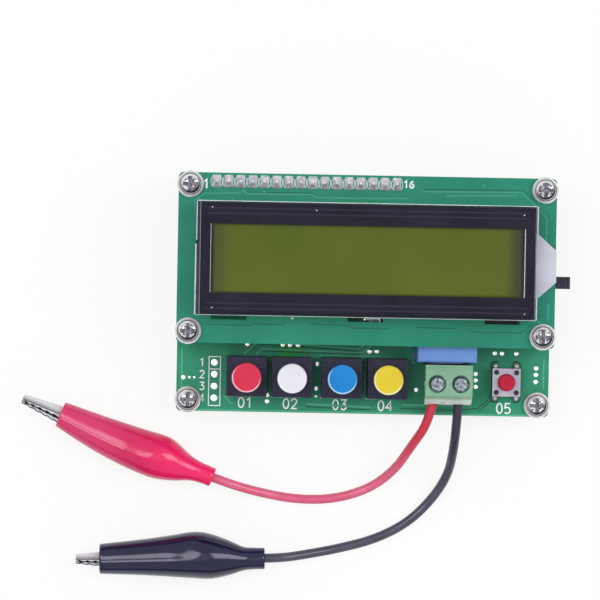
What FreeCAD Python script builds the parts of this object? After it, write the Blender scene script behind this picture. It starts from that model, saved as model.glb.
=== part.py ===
import FreeCAD, Part
import math
import os

# Component tester for coils and capacitors: a main circuit board on four feet, a character
# display board stacked over its back, a row of push switches, a screw terminal along the
# front edge and two test leads that end in booted spring clips lying on the bench.
# Millimetres, +Z up, +Y towards the back. The origin is the middle of the feet, on the bench.

Vector = FreeCAD.Vector
UP = Vector(0, 0, 1)

# Boards
board_length = 80.0
board_depth = 51.0
board_thickness = 1.6
board_corner = 1.0
lcd_board_depth = 36.0
hole_inset = 2.5
foot_height = 8.0

# M3 screws and hexagon standoffs
screw_radius = 1.5
screw_hole_radius = 1.6
thread_clearance = 0.05
screw_length = 6.0
screw_head_radius = 2.8
screw_head_height = 2.2
screw_head_rim = 0.9
recess_span = 3.2
recess_width = 0.8
recess_depth = 1.3
standoff_flats = 5.0
foot_stud_length = 5.0
foot_thread_radius = 1.25
foot_thread_depth = 3.0

# Display frame, glass and light guide
bezel_length = 70.1
bezel_depth = 23.2
bezel_height = 8.0
bezel_sheet = 0.5
bezel_flare = 0.4
bezel_end_flare = 0.9
bezel_edge_radius = 0.45
window_length = 66.0
window_depth = 14.5
bezel_tab_width = 5.0
bezel_tab_spacing = 29.0
bezel_tab_foot = 2.0
tab_slot_length = 7.6
tab_slot_margin = 0.1
tab_slot_front = 1.0
tab_slot_side = 0.4
glass_length = 68.6
glass_depth = 21.6
glass_thickness = 2.2
guide_length = 64.0
guide_depth = 16.0
light_tab_root = 13.7
light_tab_tip = 6.6
light_tab_height = 3.0
light_tab_shift = -0.6
light_tab_edge_gap = 0.1
light_tab_notch_clearance = 0.2
zebra_length = 58.0
zebra_thickness = 2.0
zebra_gap = 0.4
blob_radius = 6.5
blob_height = 1.4
blob_spacing = 25.0

# Display header: pins on the display board, socket on the main board
pin_count = 16
pin_pitch = 2.54
first_pin_from_end = 8.0
pin_row_from_edge = 1.8
header_pin_side = 0.64
header_pin_above = 1.5
header_pin_below = 6.0
header_hole_radius = 0.5
header_depth = 2.5
header_strip_height = 2.5
header_socket_height = 8.5
solder_width = 1.8
solder_length = 2.9
solder_top_width = 0.9
solder_top_length = 1.3
solder_height = 1.1

# Legs of the soldered parts
leg_radius = 0.35
leg_hole_clearance = 0.1
leg_tail = 1.5

# Four push switches with coloured caps
switch_names = ("red", "white", "blue", "yellow")
first_switch_x = -24.95
switch_spacings = (9.65, 10.65, 9.75)
switch_shift = 0.3
switch_side = 8.5
switch_height = 8.2
switch_wall = 1.0
plunger_side = 3.6
plunger_clearance = 0.15
collar_side = 5.6
collar_height = 1.5
collar_gap = 0.05
plunger_in_cap = 2.0
spring_guide_radius = 1.2
spring_guide_length = 1.6
cap_radius = 3.1
cap_height = 3.0
cap_edge = 0.4
cap_fit = 0.02
press_travel = 2.5
press_margin = 0.2
press_spring_radius = 2.1
press_spring_wall = 0.5
switch_leg_pitch = 2.54
switch_leg_row = 2.5

# Small function switch
func_x = 30.7
func_shift = -0.1
func_side = 6.0
func_base_height = 3.2
func_floor = 1.6
func_cavity_radius = 2.4
func_cover_sheet = 0.3
func_button_radius = 1.72
func_flange_radius = 2.2
func_flange_height = 0.5
func_button_height = 5.0
func_clearance = 0.15
func_dome_height = 0.7
func_dome_sheet = 0.1
func_post_radius = 0.5
func_post_inset = 0.85
func_post_height = 0.35
func_post_clearance = 0.03
func_leg_spacing = 4.5
func_leg_height = 1.3
func_leg_gap = 0.02

# Power slide switch at the right-hand edge
slide_from_back = 21.05
slide_length = 8.6
slide_depth = 4.6
slide_height = 4.4
slide_inset = 0.4
slide_shell_sheet = 0.4
slide_base_height = 1.2
lever_width = 2.6
lever_height = 2.0
lever_reach = 3.9
lever_travel = 2.0
lever_clearance = 0.15
slider_depth = 2.2
slide_leg_pitch = 2.5

# Two-way screw terminal
terminal_x = 18.08
terminal_shift = -0.4
terminal_pitch = 5.0
terminal_length = 10.0
terminal_back = 4.0
terminal_front = 4.6
terminal_height = 10.0
terminal_lip = 2.0
terminal_lip_height = 5.5
terminal_floor = 0.8
cavity_width = 4.0
cavity_front = 2.6
cavity_back = 2.8
cavity_height = 7.25
well_radius = 1.85
entry_width = 3.0
entry_height = 3.2
entry_level = 4.2
cage_width = 3.7
cage_depth = 3.6
cage_wall = 0.5
cage_floor = 0.6
cage_roof = 0.8
cage_travel = 1.5
cage_gap = 0.1
bar_width = 2.4
bar_thickness = 0.8
bar_leg_width = 1.0
clamp_screw_radius = 1.3
clamp_screw_clearance = 0.2
clamp_screw_end_gap = 0.05
clamp_head_radius = 1.6
clamp_head_height = 1.5
clamp_slot_width = 0.6
clamp_slot_depth = 0.8

# Relay behind the terminal
relay_x = 17.6
relay_gap = 0.2
relay_length = 13.4
relay_depth = 9.0
relay_height = 9.8
relay_wall = 0.8
relay_draft = 0.35
relay_edge = 0.6
relay_base_height = 1.6
relay_coil_radius = 2.4
relay_coil_length = 9.0
relay_leg_x = 5.08
relay_leg_y = 3.0

# Supply socket at the right-hand edge
usb_from_back = 11.5
usb_width = 7.7
usb_depth = 9.2
usb_height = 3.9
usb_sheet = 0.4
usb_overhang = 0.4
usb_back_depth = 3.0
usb_tongue_width = 4.2
usb_tongue_height = 1.0
usb_tongue_setback = 1.4

# Parts under the display
chip_x = -11.0
chip_y = 9.0
chip_length = 17.9
chip_width = 7.5
chip_height = 2.4
chip_lead_count = 14
amplifier_x = 12.0
amplifier_y = 9.0
amplifier_length = 4.9
amplifier_width = 3.9
amplifier_height = 1.7
amplifier_lead_count = 4
chip_lead_pitch = 1.27
chip_lead_width = 0.4
chip_lead_sheet = 0.2
chip_lead_reach = 1.4
chip_standoff = 0.2
crystal_x = -27.0
crystal_y = 9.0
crystal_length = 11.0
crystal_width = 4.6
crystal_height = 3.5
crystal_flange = 0.5
crystal_flange_sheet = 0.4
crystal_leg_spacing = 4.9
coil_x = 29.0
coil_y = -4.5
coil_radius = 3.5
coil_height = 8.5
coil_flange_height = 1.0
coil_neck = 0.4
coil_leg_spacing = 4.0
capacitor_x = 2.5
capacitor_y = -3.5
capacitor_radius = 3.15
capacitor_height = 7.5
capacitor_leg_spacing = 2.5
capacitor_groove = 0.25

# Spare header holes at the left of the switches
spare_hole_x = -31.85
spare_hole_shift = 2.95
spare_hole_count = 4
spare_hole_radius = 0.5

# Test leads
wire_radius = 1.0
core_radius = 0.6
core_end_gap = 0.2
core_gap = 0.05
wire_end_gap = 0.1
wire_lead_in = 3.0

# Spring clips
clip_roll = 45.0
tip_reach = 14.0
handle_reach = 12.5
jaw_sheet = 0.4
jaw_half_width = 1.8
jaw_nesting_gap = 0.1
jaw_tip_half_width = 0.65
jaw_taper_from = 2.0
jaw_tip_height = 0.8
jaw_back_height = 1.6
handle_spread = 3.3
handle_half_width = 1.8
handle_wall_height = 0.9
jaw_ear_radius = 1.1
tooth_pitch = 1.7
tooth_depth = 0.45
tooth_gap = 0.06
teeth_from = 3.8
rivet_radius = 0.5
rivet_clearance = 0.15
rivet_head_radius = 1.0
rivet_head_height = 0.35
spring_radius = 1.0
spring_wall = 0.3
spring_side_gap = 0.15
spring_leg_radius = 0.2
spring_leg_gap = 0.1
crimp_length = 4.0
crimp_radius = 1.5
crimp_clearance = 0.05
crimp_gap = 0.8
crimp_wire_gap = 0.5

# Boots: radii at steps along the length, from the mouth to the wire end
boot_length = 35.6
boot_wall = 0.5
boot_mouth_radius = 3.2
boot_waist_radius = 3.9
boot_waist_at = 9.7
boot_bulge_radius = 5.15
boot_bulge_at = 21.5
boot_neck_radius = 2.7
boot_neck_at = 31.8
boot_end_radius = 2.2
boot_collar = 2.0
boot_wire_clearance = 0.01

# Levels and places that follow from the sizes above
lcd_gap = header_strip_height + header_socket_height
board_bottom = foot_height
board_top = board_bottom + board_thickness
lcd_bottom = board_top + lcd_gap
lcd_top = lcd_bottom + board_thickness
right_edge = board_length / 2
back_edge = board_depth / 2
front_edge = -board_depth / 2
lcd_middle_y = back_edge - lcd_board_depth / 2
lcd_front_edge = back_edge - lcd_board_depth
hole_x = right_edge - hole_inset
back_hole_y = back_edge - hole_inset
mid_hole_y = lcd_front_edge + hole_inset
front_hole_y = front_edge + hole_inset
glass_bottom = lcd_top + bezel_height - bezel_sheet - glass_thickness
bezel_base_half_length = bezel_length / 2 + bezel_end_flare
bezel_base_half_depth = bezel_depth / 2 + bezel_flare
thread_radius = screw_radius + thread_clearance
leg_hole_radius = leg_radius + leg_hole_clearance
header_pin_places = [
    (first_pin_from_end - right_edge + k * pin_pitch, back_edge - pin_row_from_edge)
    for k in range(pin_count)
]
header_middle_x = (header_pin_places[0][0] + header_pin_places[-1][0]) / 2
front_row_y = (front_edge + lcd_front_edge) / 2
switch_y = front_row_y + switch_shift
switch_places = [first_switch_x + sum(switch_spacings[:k]) for k in range(len(switch_names))]
func_y = front_row_y + func_shift
terminal_screw_y = front_row_y + terminal_shift
spare_hole_first_y = front_row_y + spare_hole_shift
usb_y = back_edge - usb_from_back
slide_y = back_edge - slide_from_back
terminal_poles = [terminal_x - terminal_pitch / 2, terminal_x + terminal_pitch / 2]
terminal_front_y = terminal_screw_y - terminal_front
wire_level = board_top + entry_level
relay_y = terminal_screw_y + terminal_back + relay_gap + relay_depth / 2
slide_x = right_edge - slide_inset - slide_depth / 2
cage_front_y = terminal_screw_y - cage_depth / 2

# Each lead: where the wire end of its boot lies, which way the clip points, how much of the jaws
# shows, and the points of the wire from the terminal to the boot, chosen by eye to follow its hang
red_boot_girth = 0.92
red_boot_end = Vector(-31.85, terminal_front_y - 17.1, red_boot_girth * boot_bulge_radius)
red_heading = 158.4
red_jaw_showing = 8.8
red_route = [
    Vector(terminal_poles[0] - 1.4, terminal_front_y - 3.9, 0.98 * wire_level),
    Vector(10.8, terminal_front_y - 9.2, 0.69 * wire_level),
    Vector(7.6, terminal_front_y - 14.6, 0.33 * wire_level),
    Vector(2.4, terminal_front_y - 19.0, 1.6),
    Vector(-5.1, terminal_front_y - 21.5, 1.1),
    Vector(-13.3, terminal_front_y - 21.8, 1.2),
    Vector(-21.3, terminal_front_y - 20.4, 2.2),
]
black_boot_girth = 1.0
black_boot_end = Vector(-20.3, terminal_front_y - 34.35, black_boot_girth * boot_bulge_radius)
black_heading = 181.2
black_jaw_showing = 5.2
black_route = [
    Vector(terminal_poles[1] - 0.4, terminal_front_y - 3.9, 0.98 * wire_level),
    Vector(19.9, terminal_front_y - 9.6, 0.68 * wire_level),
    Vector(19.1, terminal_front_y - 15.5, 0.31 * wire_level),
    Vector(15.8, terminal_front_y - 21.2, 1.5),
    Vector(10.5, terminal_front_y - 26.5, 1.1),
    Vector(3.6, terminal_front_y - 30.1, 1.1),
    Vector(-4.2, terminal_front_y - 32.2, 1.6),
    Vector(-12.0, terminal_front_y - 33.6, 3.4),
]


def box(x, y, bottom, length, depth, height):
    """A block centred at x, y that stands on the level bottom."""
    return Part.makeBox(length, depth, height, Vector(x - length / 2, y - depth / 2, bottom))


def rod(x, y, bottom, radius, height):
    """An upright cylinder that stands on the level bottom."""
    return Part.makeCylinder(radius, height, Vector(x, y, bottom))


def prism(points, sweep):
    """The straight-sided outline through points, pushed along sweep."""
    return Part.Face(Part.makePolygon(points + points[:1])).extrude(sweep)


def joined(first, *others):
    """One solid from several that touch or overlap."""
    return first.fuse(list(others)).removeSplitter()


def drilled(shape, holes):
    """The shape with every hole taken out."""
    return shape.cut(list(holes))


def rectangle(x, y, level, length, depth):
    """A closed rectangular wire at one level."""
    corners = [(-1, -1), (1, -1), (1, 1), (-1, 1), (-1, -1)]
    return Part.makePolygon([Vector(x + i * length / 2, y + j * depth / 2, level) for i, j in corners])


def oblong(x, y, level, width, length):
    """A closed wire with two straight sides and round ends, long in Y."""
    half, reach = width / 2, (length - width) / 2
    right = [Vector(x + half, y - reach, level), Vector(x + half, y + reach, level)]
    left = [Vector(x - half, y + reach, level), Vector(x - half, y - reach, level)]
    back = Part.Arc(right[1], Vector(x, y + reach + half, level), left[0])
    front = Part.Arc(left[1], Vector(x, y - reach - half, level), right[0])
    edges = [Part.LineSegment(*right), back, Part.LineSegment(*left), front]
    return Part.Wire([edge.toShape() for edge in edges])


def upright_edges(shape):
    """The edges of a block that run straight up."""
    return [edge for edge in shape.Edges if abs(edge.tangentAt(edge.FirstParameter).z) > 0.99]


def rim_edges(shape, level):
    """The edges that lie wholly at one level."""
    return [
        edge
        for edge in shape.Edges
        if abs(edge.BoundBox.ZMin - level) < 1e-6 and abs(edge.BoundBox.ZMax - level) < 1e-6
    ]


def save(node, *solids):
    """Writes one named piece, or a group of like pieces."""
    Part.makeCompound(list(solids)).exportStep(f"parts/{node}.step")


# Boards


def leg_places():
    """Where the round legs of the soldered parts pass through the main board."""
    places = list(header_pin_places)
    for middle in switch_places:
        for column in (-1, 0, 1):
            for row in (-1, 1):
                places.append((middle + column * switch_leg_pitch, switch_y + row * switch_leg_row))
    for column in (-1, 0, 1):
        places.append((slide_x, slide_y + column * slide_leg_pitch))
    for i in (-1, 1):
        for j in (-1, 1):
            places.append((relay_x + i * relay_leg_x, relay_y + j * relay_leg_y))
        places.append((crystal_x + i * crystal_leg_spacing / 2, crystal_y))
        places.append((coil_x + i * coil_leg_spacing / 2, coil_y))
        places.append((capacitor_x + i * capacitor_leg_spacing / 2, capacitor_y))
    return places


def func_leg_places():
    """The four legs that stand against the front and back of the function switch."""
    out = func_side / 2 + leg_radius + func_leg_gap
    return [(func_x + i * func_leg_spacing / 2, func_y + j * out) for i in (-1, 1) for j in (-1, 1)]


def bar_leg_y():
    """The middle of the downward leg behind the clamp cages of the terminal."""
    return terminal_screw_y + cage_depth / 2 + cage_gap + bar_thickness / 2


def make_main_board():
    board = box(0, 0, board_bottom, board_length, board_depth, board_thickness)
    board = board.makeFillet(board_corner, upright_edges(board))
    through = 3 * board_thickness
    start = board_bottom - board_thickness
    holes = []
    for side in (-1, 1):
        for y in (back_hole_y, mid_hole_y, front_hole_y):
            holes.append(rod(side * hole_x, y, start, screw_hole_radius, through))
    for x, y in leg_places() + func_leg_places():
        holes.append(rod(x, y, start, leg_hole_radius, through))
    for x in terminal_poles:
        hole_length = bar_leg_width + 2 * leg_hole_clearance
        hole_depth = bar_thickness + 2 * leg_hole_clearance
        holes.append(box(x, bar_leg_y(), start, hole_length, hole_depth, through))
    for k in range(spare_hole_count):
        y = spare_hole_first_y - k * pin_pitch
        holes.append(rod(spare_hole_x, y, start, spare_hole_radius, through))
    save("main_board", drilled(board, holes))


def make_soldered_legs():
    bottom = board_bottom - leg_tail
    legs = [rod(x, y, bottom, leg_radius, board_top - bottom) for x, y in leg_places()]
    tall = board_top + func_leg_height - bottom
    legs += [rod(x, y, bottom, leg_radius, tall) for x, y in func_leg_places()]
    save("soldered_legs", *legs)


def around_display(shape, quarter_turns):
    """A copy turned about the middle of the display."""
    turned = shape.copy()
    turned.rotate(Vector(0, lcd_middle_y, 0), UP, 90 * quarter_turns)
    return turned


def at_bezel_tabs(make):
    """One shape for each tab of the display frame: three along each long side, one at the left.
    make(offset, reach, outside) gives the shape on the front side, reach away from the middle,
    with room for a slot that opens to the outside by that much."""
    shapes = []
    for step in (-1, 0, 1):
        offset = step * bezel_tab_spacing
        shapes.append(make(offset, bezel_base_half_depth, tab_slot_front))
        shapes.append(around_display(make(offset, bezel_base_half_depth, tab_slot_margin), 2))
    shapes.append(around_display(make(0, bezel_base_half_length, tab_slot_side), 3))
    return shapes


def bezel_tab(offset, reach, _outside):
    """A strip through the board with its foot bent inwards under it."""
    outer_face = lcd_middle_y - reach
    strip_height = board_thickness + bezel_sheet + bezel_sheet
    strip = box(offset, outer_face + bezel_sheet / 2, lcd_bottom - bezel_sheet,
                bezel_tab_width, bezel_sheet, strip_height)
    foot = box(offset, outer_face + bezel_tab_foot / 2, lcd_bottom - bezel_sheet,
               bezel_tab_width, bezel_tab_foot, bezel_sheet)
    return joined(strip, foot)


def tab_slot(offset, reach, outside):
    """The slot in the display board that a tab passes through."""
    depth = bezel_sheet + tab_slot_margin + outside
    middle = lcd_middle_y - reach - outside + depth / 2
    return box(offset, middle, lcd_bottom - board_thickness, tab_slot_length, depth, 3 * board_thickness)


def make_lcd_board():
    board = box(0, lcd_middle_y, lcd_bottom, board_length, lcd_board_depth, board_thickness)
    board = board.makeFillet(board_corner, upright_edges(board))
    through = 3 * board_thickness
    start = lcd_bottom - board_thickness
    holes = at_bezel_tabs(tab_slot)
    for side in (-1, 1):
        for y in (back_hole_y, mid_hole_y):
            holes.append(rod(side * hole_x, y, start, screw_hole_radius, through))
    for x, y in header_pin_places:
        holes.append(rod(x, y, start, header_hole_radius, through))
    save("lcd_board", drilled(board, holes))


# Display


def bezel_block(inset):
    """The drafted block of the frame, drawn in by inset on its sides and top."""
    top = lcd_top + bezel_height - inset
    base_size = (2 * (bezel_base_half_length - inset), 2 * (bezel_base_half_depth - inset))
    top_size = (bezel_length - 2 * inset, bezel_depth - 2 * inset)
    base = rectangle(0, lcd_middle_y, lcd_top, *base_size)
    crown = rectangle(0, lcd_middle_y, top, *top_size)
    return Part.makeLoft([base, crown], True, True)


def make_lcd_bezel():
    outer = bezel_block(0)
    outer = outer.makeFillet(bezel_edge_radius, rim_edges(outer, lcd_top + bezel_height))
    frame = outer.cut(bezel_block(bezel_sheet))
    window = box(0, lcd_middle_y, lcd_top, window_length, window_depth, 2 * bezel_height)
    notch_width = light_tab_root + 2 * light_tab_notch_clearance
    notch_height = light_tab_height + light_tab_notch_clearance
    notch = box(bezel_base_half_length, lcd_middle_y + light_tab_shift, lcd_top,
                4 * bezel_sheet + 2 * bezel_end_flare, notch_width, notch_height)
    frame = drilled(frame, [window, notch])
    save("lcd_bezel", joined(frame, *at_bezel_tabs(bezel_tab)))


def make_lcd_glass():
    save("lcd_glass", box(0, lcd_middle_y, glass_bottom, glass_length, glass_depth, glass_thickness))


def make_lcd_backlight():
    guide = box(0, lcd_middle_y, lcd_top, guide_length, guide_depth, glass_bottom - lcd_top)
    root_x = guide_length / 2
    shoulder_x = bezel_base_half_length
    tip_x = right_edge - light_tab_edge_gap
    middle = lcd_middle_y + light_tab_shift
    outline = [
        Vector(root_x, middle - light_tab_root / 2, lcd_top),
        Vector(shoulder_x, middle - light_tab_root / 2, lcd_top),
        Vector(tip_x, middle - light_tab_tip / 2, lcd_top),
        Vector(tip_x, middle + light_tab_tip / 2, lcd_top),
        Vector(shoulder_x, middle + light_tab_root / 2, lcd_top),
        Vector(root_x, middle + light_tab_root / 2, lcd_top),
    ]
    save("lcd_backlight", joined(guide, prism(outline, UP * light_tab_height)))


def make_lcd_zebra_strips():
    reach = guide_depth / 2 + zebra_gap + zebra_thickness / 2
    height = glass_bottom - lcd_top
    strips = [
        box(0, lcd_middle_y + side * reach, lcd_top, zebra_length, zebra_thickness, height)
        for side in (-1, 1)
    ]
    save("lcd_zebra_strips", *strips)


def make_lcd_driver_blobs():
    ball_radius = (blob_radius ** 2 + blob_height ** 2) / (2 * blob_height)
    blobs = []
    for side in (-1, 1):
        x = side * blob_spacing / 2
        centre = Vector(x, lcd_middle_y, lcd_bottom - blob_height + ball_radius)
        slab = rod(x, lcd_middle_y, lcd_bottom - blob_height, 2 * blob_radius, blob_height)
        blobs.append(Part.makeSphere(ball_radius, centre).common(slab))
    save("lcd_driver_blobs", *blobs)


def make_display_header():
    length = pin_count * pin_pitch
    row_y = header_pin_places[0][1]
    strip = box(header_middle_x, row_y, lcd_bottom - header_strip_height,
                length, header_depth, header_strip_height)
    socket = box(header_middle_x, row_y, board_top, length, header_depth, header_socket_height)
    pin_bottom = lcd_bottom - header_strip_height - header_pin_below
    pin_top = lcd_top + header_pin_above
    strip_holes, socket_holes, pins = [], [], []
    for x, y in header_pin_places:
        strip_holes.append(rod(x, y, lcd_bottom - 2 * header_strip_height,
                               header_hole_radius, 3 * header_strip_height))
        socket_holes.append(rod(x, y, pin_bottom - header_hole_radius,
                                header_hole_radius, header_socket_height))
        pin = box(x, y, pin_bottom, header_pin_side, header_pin_side, pin_top - pin_bottom)
        foot = oblong(x, y, lcd_top, solder_width, solder_length)
        crest = oblong(x, y, lcd_top + solder_height, solder_top_width, solder_top_length)
        pins.append(joined(pin, Part.makeLoft([foot, crest], True, True)))
    save("lcd_header_strip", drilled(strip, strip_holes))
    save("lcd_header_socket", drilled(socket, socket_holes))
    save("lcd_header_pins", *pins)


# Fasteners


def pan_screw(x, y, seat):
    """A cross-recessed screw whose head sits on the level seat, pointing down."""
    rise = screw_head_height - screw_head_rim
    ball_radius = (screw_head_radius ** 2 + rise ** 2) / (2 * rise)
    ball = Part.makeSphere(ball_radius, Vector(x, y, seat + screw_head_height - ball_radius))
    head = rod(x, y, seat, screw_head_radius, screw_head_height).common(ball)
    recess_bottom = seat + screw_head_height - recess_depth
    cross = [
        box(x, y, recess_bottom, recess_span, recess_width, 2 * recess_depth),
        box(x, y, recess_bottom, recess_width, recess_span, 2 * recess_depth),
        rod(x, y, recess_bottom, recess_width * 0.8, 2 * recess_depth),
    ]
    shank = rod(x, y, seat - screw_length, screw_radius, screw_length)
    return joined(head.cut(cross), shank)


def flipped(screw, x, y, seat):
    """The same screw put in from below."""
    screw.rotate(Vector(x, y, seat), Vector(1, 0, 0), 180)
    return screw


def hexagon(x, y, bottom, height):
    """A hexagon bar of the standoffs, with two flats facing front and back."""
    corner = standoff_flats / math.sqrt(3)
    turns = [math.radians(60 * k) for k in range(6)]
    outline = [Vector(x + corner * math.cos(a), y + corner * math.sin(a), bottom) for a in turns]
    return prism(outline, UP * height)


def make_fasteners():
    lcd_screws, board_screws, standoffs, feet = [], [], [], []
    front_thread = screw_length - board_thickness + 2 * thread_clearance
    for side in (-1, 1):
        x = side * hole_x
        for y in (back_hole_y, mid_hole_y):
            lcd_screws.append(pan_screw(x, y, lcd_top))
            bar = hexagon(x, y, board_top, lcd_gap)
            standoffs.append(bar.cut(rod(x, y, board_top, thread_radius, lcd_gap)))
        board_screws.append(flipped(pan_screw(x, mid_hole_y, board_bottom), x, mid_hole_y, board_bottom))
        board_screws.append(pan_screw(x, front_hole_y, board_top))
        back_foot = hexagon(x, back_hole_y, 0, foot_height)
        back_foot = back_foot.cut(rod(x, back_hole_y, 0, foot_thread_radius, foot_thread_depth))
        stud = rod(x, back_hole_y, foot_height, screw_radius, foot_stud_length)
        feet.append(joined(back_foot, stud))
        front_foot = hexagon(x, front_hole_y, 0, foot_height)
        bores = [
            rod(x, front_hole_y, 0, foot_thread_radius, foot_thread_depth),
            rod(x, front_hole_y, foot_height - front_thread, thread_radius, front_thread),
        ]
        feet.append(drilled(front_foot, bores))
    save("lcd_screws", *lcd_screws)
    save("board_screws", *board_screws)
    save("lcd_standoffs", *standoffs)
    save("foot_standoffs", *feet)


# Push switches


def make_push_switches():
    top = board_top + switch_height
    ceiling = top - switch_wall
    collar_top = ceiling - collar_gap
    collar_bottom = collar_top - collar_height
    cap_bottom = top + press_travel + press_margin
    cavity_side = switch_side - 2 * switch_wall
    floor = board_top + switch_wall
    housings, springs = [], []
    for name, x in zip(switch_names, switch_places):
        opening_side = plunger_side + 2 * plunger_clearance
        hollow = [
            box(x, switch_y, floor, cavity_side, cavity_side, ceiling - floor),
            box(x, switch_y, floor, opening_side, opening_side, switch_height),
        ]
        body = box(x, switch_y, board_top, switch_side, switch_side, switch_height)
        housings.append(drilled(body, hollow))

        stem_top = cap_bottom + plunger_in_cap
        stem = box(x, switch_y, collar_bottom, plunger_side, plunger_side, stem_top - collar_bottom)
        collar = box(x, switch_y, collar_bottom, collar_side, collar_side, collar_height)
        guide = rod(x, switch_y, collar_bottom - spring_guide_length,
                    spring_guide_radius, spring_guide_length)
        save(f"{name}_plunger", joined(stem, collar, guide))

        cap = rod(x, switch_y, cap_bottom, cap_radius, cap_height)
        cap = cap.makeFillet(cap_edge, rim_edges(cap, cap_bottom + cap_height))
        socket_side = plunger_side + 2 * cap_fit
        socket = box(x, switch_y, cap_bottom, socket_side, socket_side, plunger_in_cap)
        save(f"{name}_cap", cap.cut(socket))

        spring_height = collar_bottom - floor
        spring = rod(x, switch_y, floor, press_spring_radius, spring_height)
        bore = rod(x, switch_y, floor, press_spring_radius - press_spring_wall, spring_height)
        springs.append(spring.cut(bore))
    save("switch_housings", *housings)
    save("switch_springs", *springs)


# Function switch


def make_func_switch():
    floor = board_top + func_floor
    rim = board_top + func_base_height
    cover_top = rim + func_cover_sheet
    base = box(func_x, func_y, board_top, func_side, func_side, func_base_height)
    base = base.cut(rod(func_x, func_y, floor, func_cavity_radius, func_base_height))
    cover = box(func_x, func_y, rim, func_side, func_side, func_cover_sheet)
    posts, post_holes = [], []
    reach = func_side / 2 - func_post_inset
    for i in (-1, 1):
        for j in (-1, 1):
            x, y = func_x + i * reach, func_y + j * reach
            posts.append(rod(x, y, rim, func_post_radius, func_cover_sheet + func_post_height))
            post_holes.append(rod(x, y, rim, func_post_radius + func_post_clearance, func_side))
    mouth = rod(func_x, func_y, rim, func_button_radius + func_clearance, func_side)
    save("func_switch_base", joined(base, *posts))
    save("func_switch_cover", drilled(cover, post_holes + [mouth]))

    flange_bottom = rim - func_flange_height
    flange = rod(func_x, func_y, flange_bottom, func_flange_radius, func_flange_height)
    button_top = board_top + func_button_height
    stem = rod(func_x, func_y, flange_bottom, func_button_radius, button_top - flange_bottom)
    stem = stem.makeFillet(func_cover_sheet, rim_edges(stem, button_top))
    save("func_button", joined(flange, stem))

    dome_height = min(func_dome_height, flange_bottom - floor)
    dome_radius = func_flange_radius
    ball_radius = (dome_radius ** 2 + dome_height ** 2) / (2 * dome_height)
    centre = Vector(func_x, func_y, flange_bottom - ball_radius)
    shell = Part.makeSphere(ball_radius, centre).cut(Part.makeSphere(ball_radius - func_dome_sheet, centre))
    slab = rod(func_x, func_y, flange_bottom - dome_height, 2 * dome_radius, dome_height)
    seat = rod(func_x, func_y, floor, dome_radius, flange_bottom - dome_height - floor + func_dome_sheet)
    seat = seat.cut(rod(func_x, func_y, floor, dome_radius - 4 * func_dome_sheet, func_base_height))
    save("func_dome", joined(shell.common(slab), seat.cut(Part.makeSphere(ball_radius, centre))))


# Power switch


def make_power_switch():
    base = box(slide_x, slide_y, board_top, slide_depth - 2 * slide_shell_sheet,
               slide_length - 2 * slide_shell_sheet, slide_base_height)
    shell = box(slide_x, slide_y, board_top, slide_depth, slide_length, slide_height)
    hollow = box(slide_x, slide_y, board_top, slide_depth - 2 * slide_shell_sheet,
                 slide_length - 2 * slide_shell_sheet, slide_height - slide_shell_sheet)
    lever_y = slide_y - lever_travel / 2
    lever_bottom = board_top + slide_base_height + 2 * lever_clearance
    slot_length = lever_width + lever_travel + 2 * lever_clearance
    slot_height = lever_height + 2 * lever_clearance
    slot = box(slide_x + slide_depth / 2, slide_y, lever_bottom - lever_clearance,
               4 * slide_shell_sheet, slot_length, slot_height)
    save("power_switch_base", base)
    save("power_switch_shell", drilled(shell, [hollow, slot]))

    inner_face = slide_x + slide_depth / 2 - slide_shell_sheet - lever_clearance
    slider_length = slide_length - 2 * slide_shell_sheet - lever_travel - 2 * lever_clearance
    ceiling = board_top + slide_height - slide_shell_sheet
    slider = box(inner_face - slider_depth / 2, lever_y, board_top + slide_base_height + lever_clearance,
                 slider_depth, slider_length, ceiling - board_top - slide_base_height - 2 * lever_clearance)
    tip_x = right_edge + lever_reach
    handle = box((inner_face + tip_x) / 2, lever_y, lever_bottom, tip_x - inner_face, lever_width, lever_height)
    save("power_switch_lever", joined(slider, handle))


# Screw terminal


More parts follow.
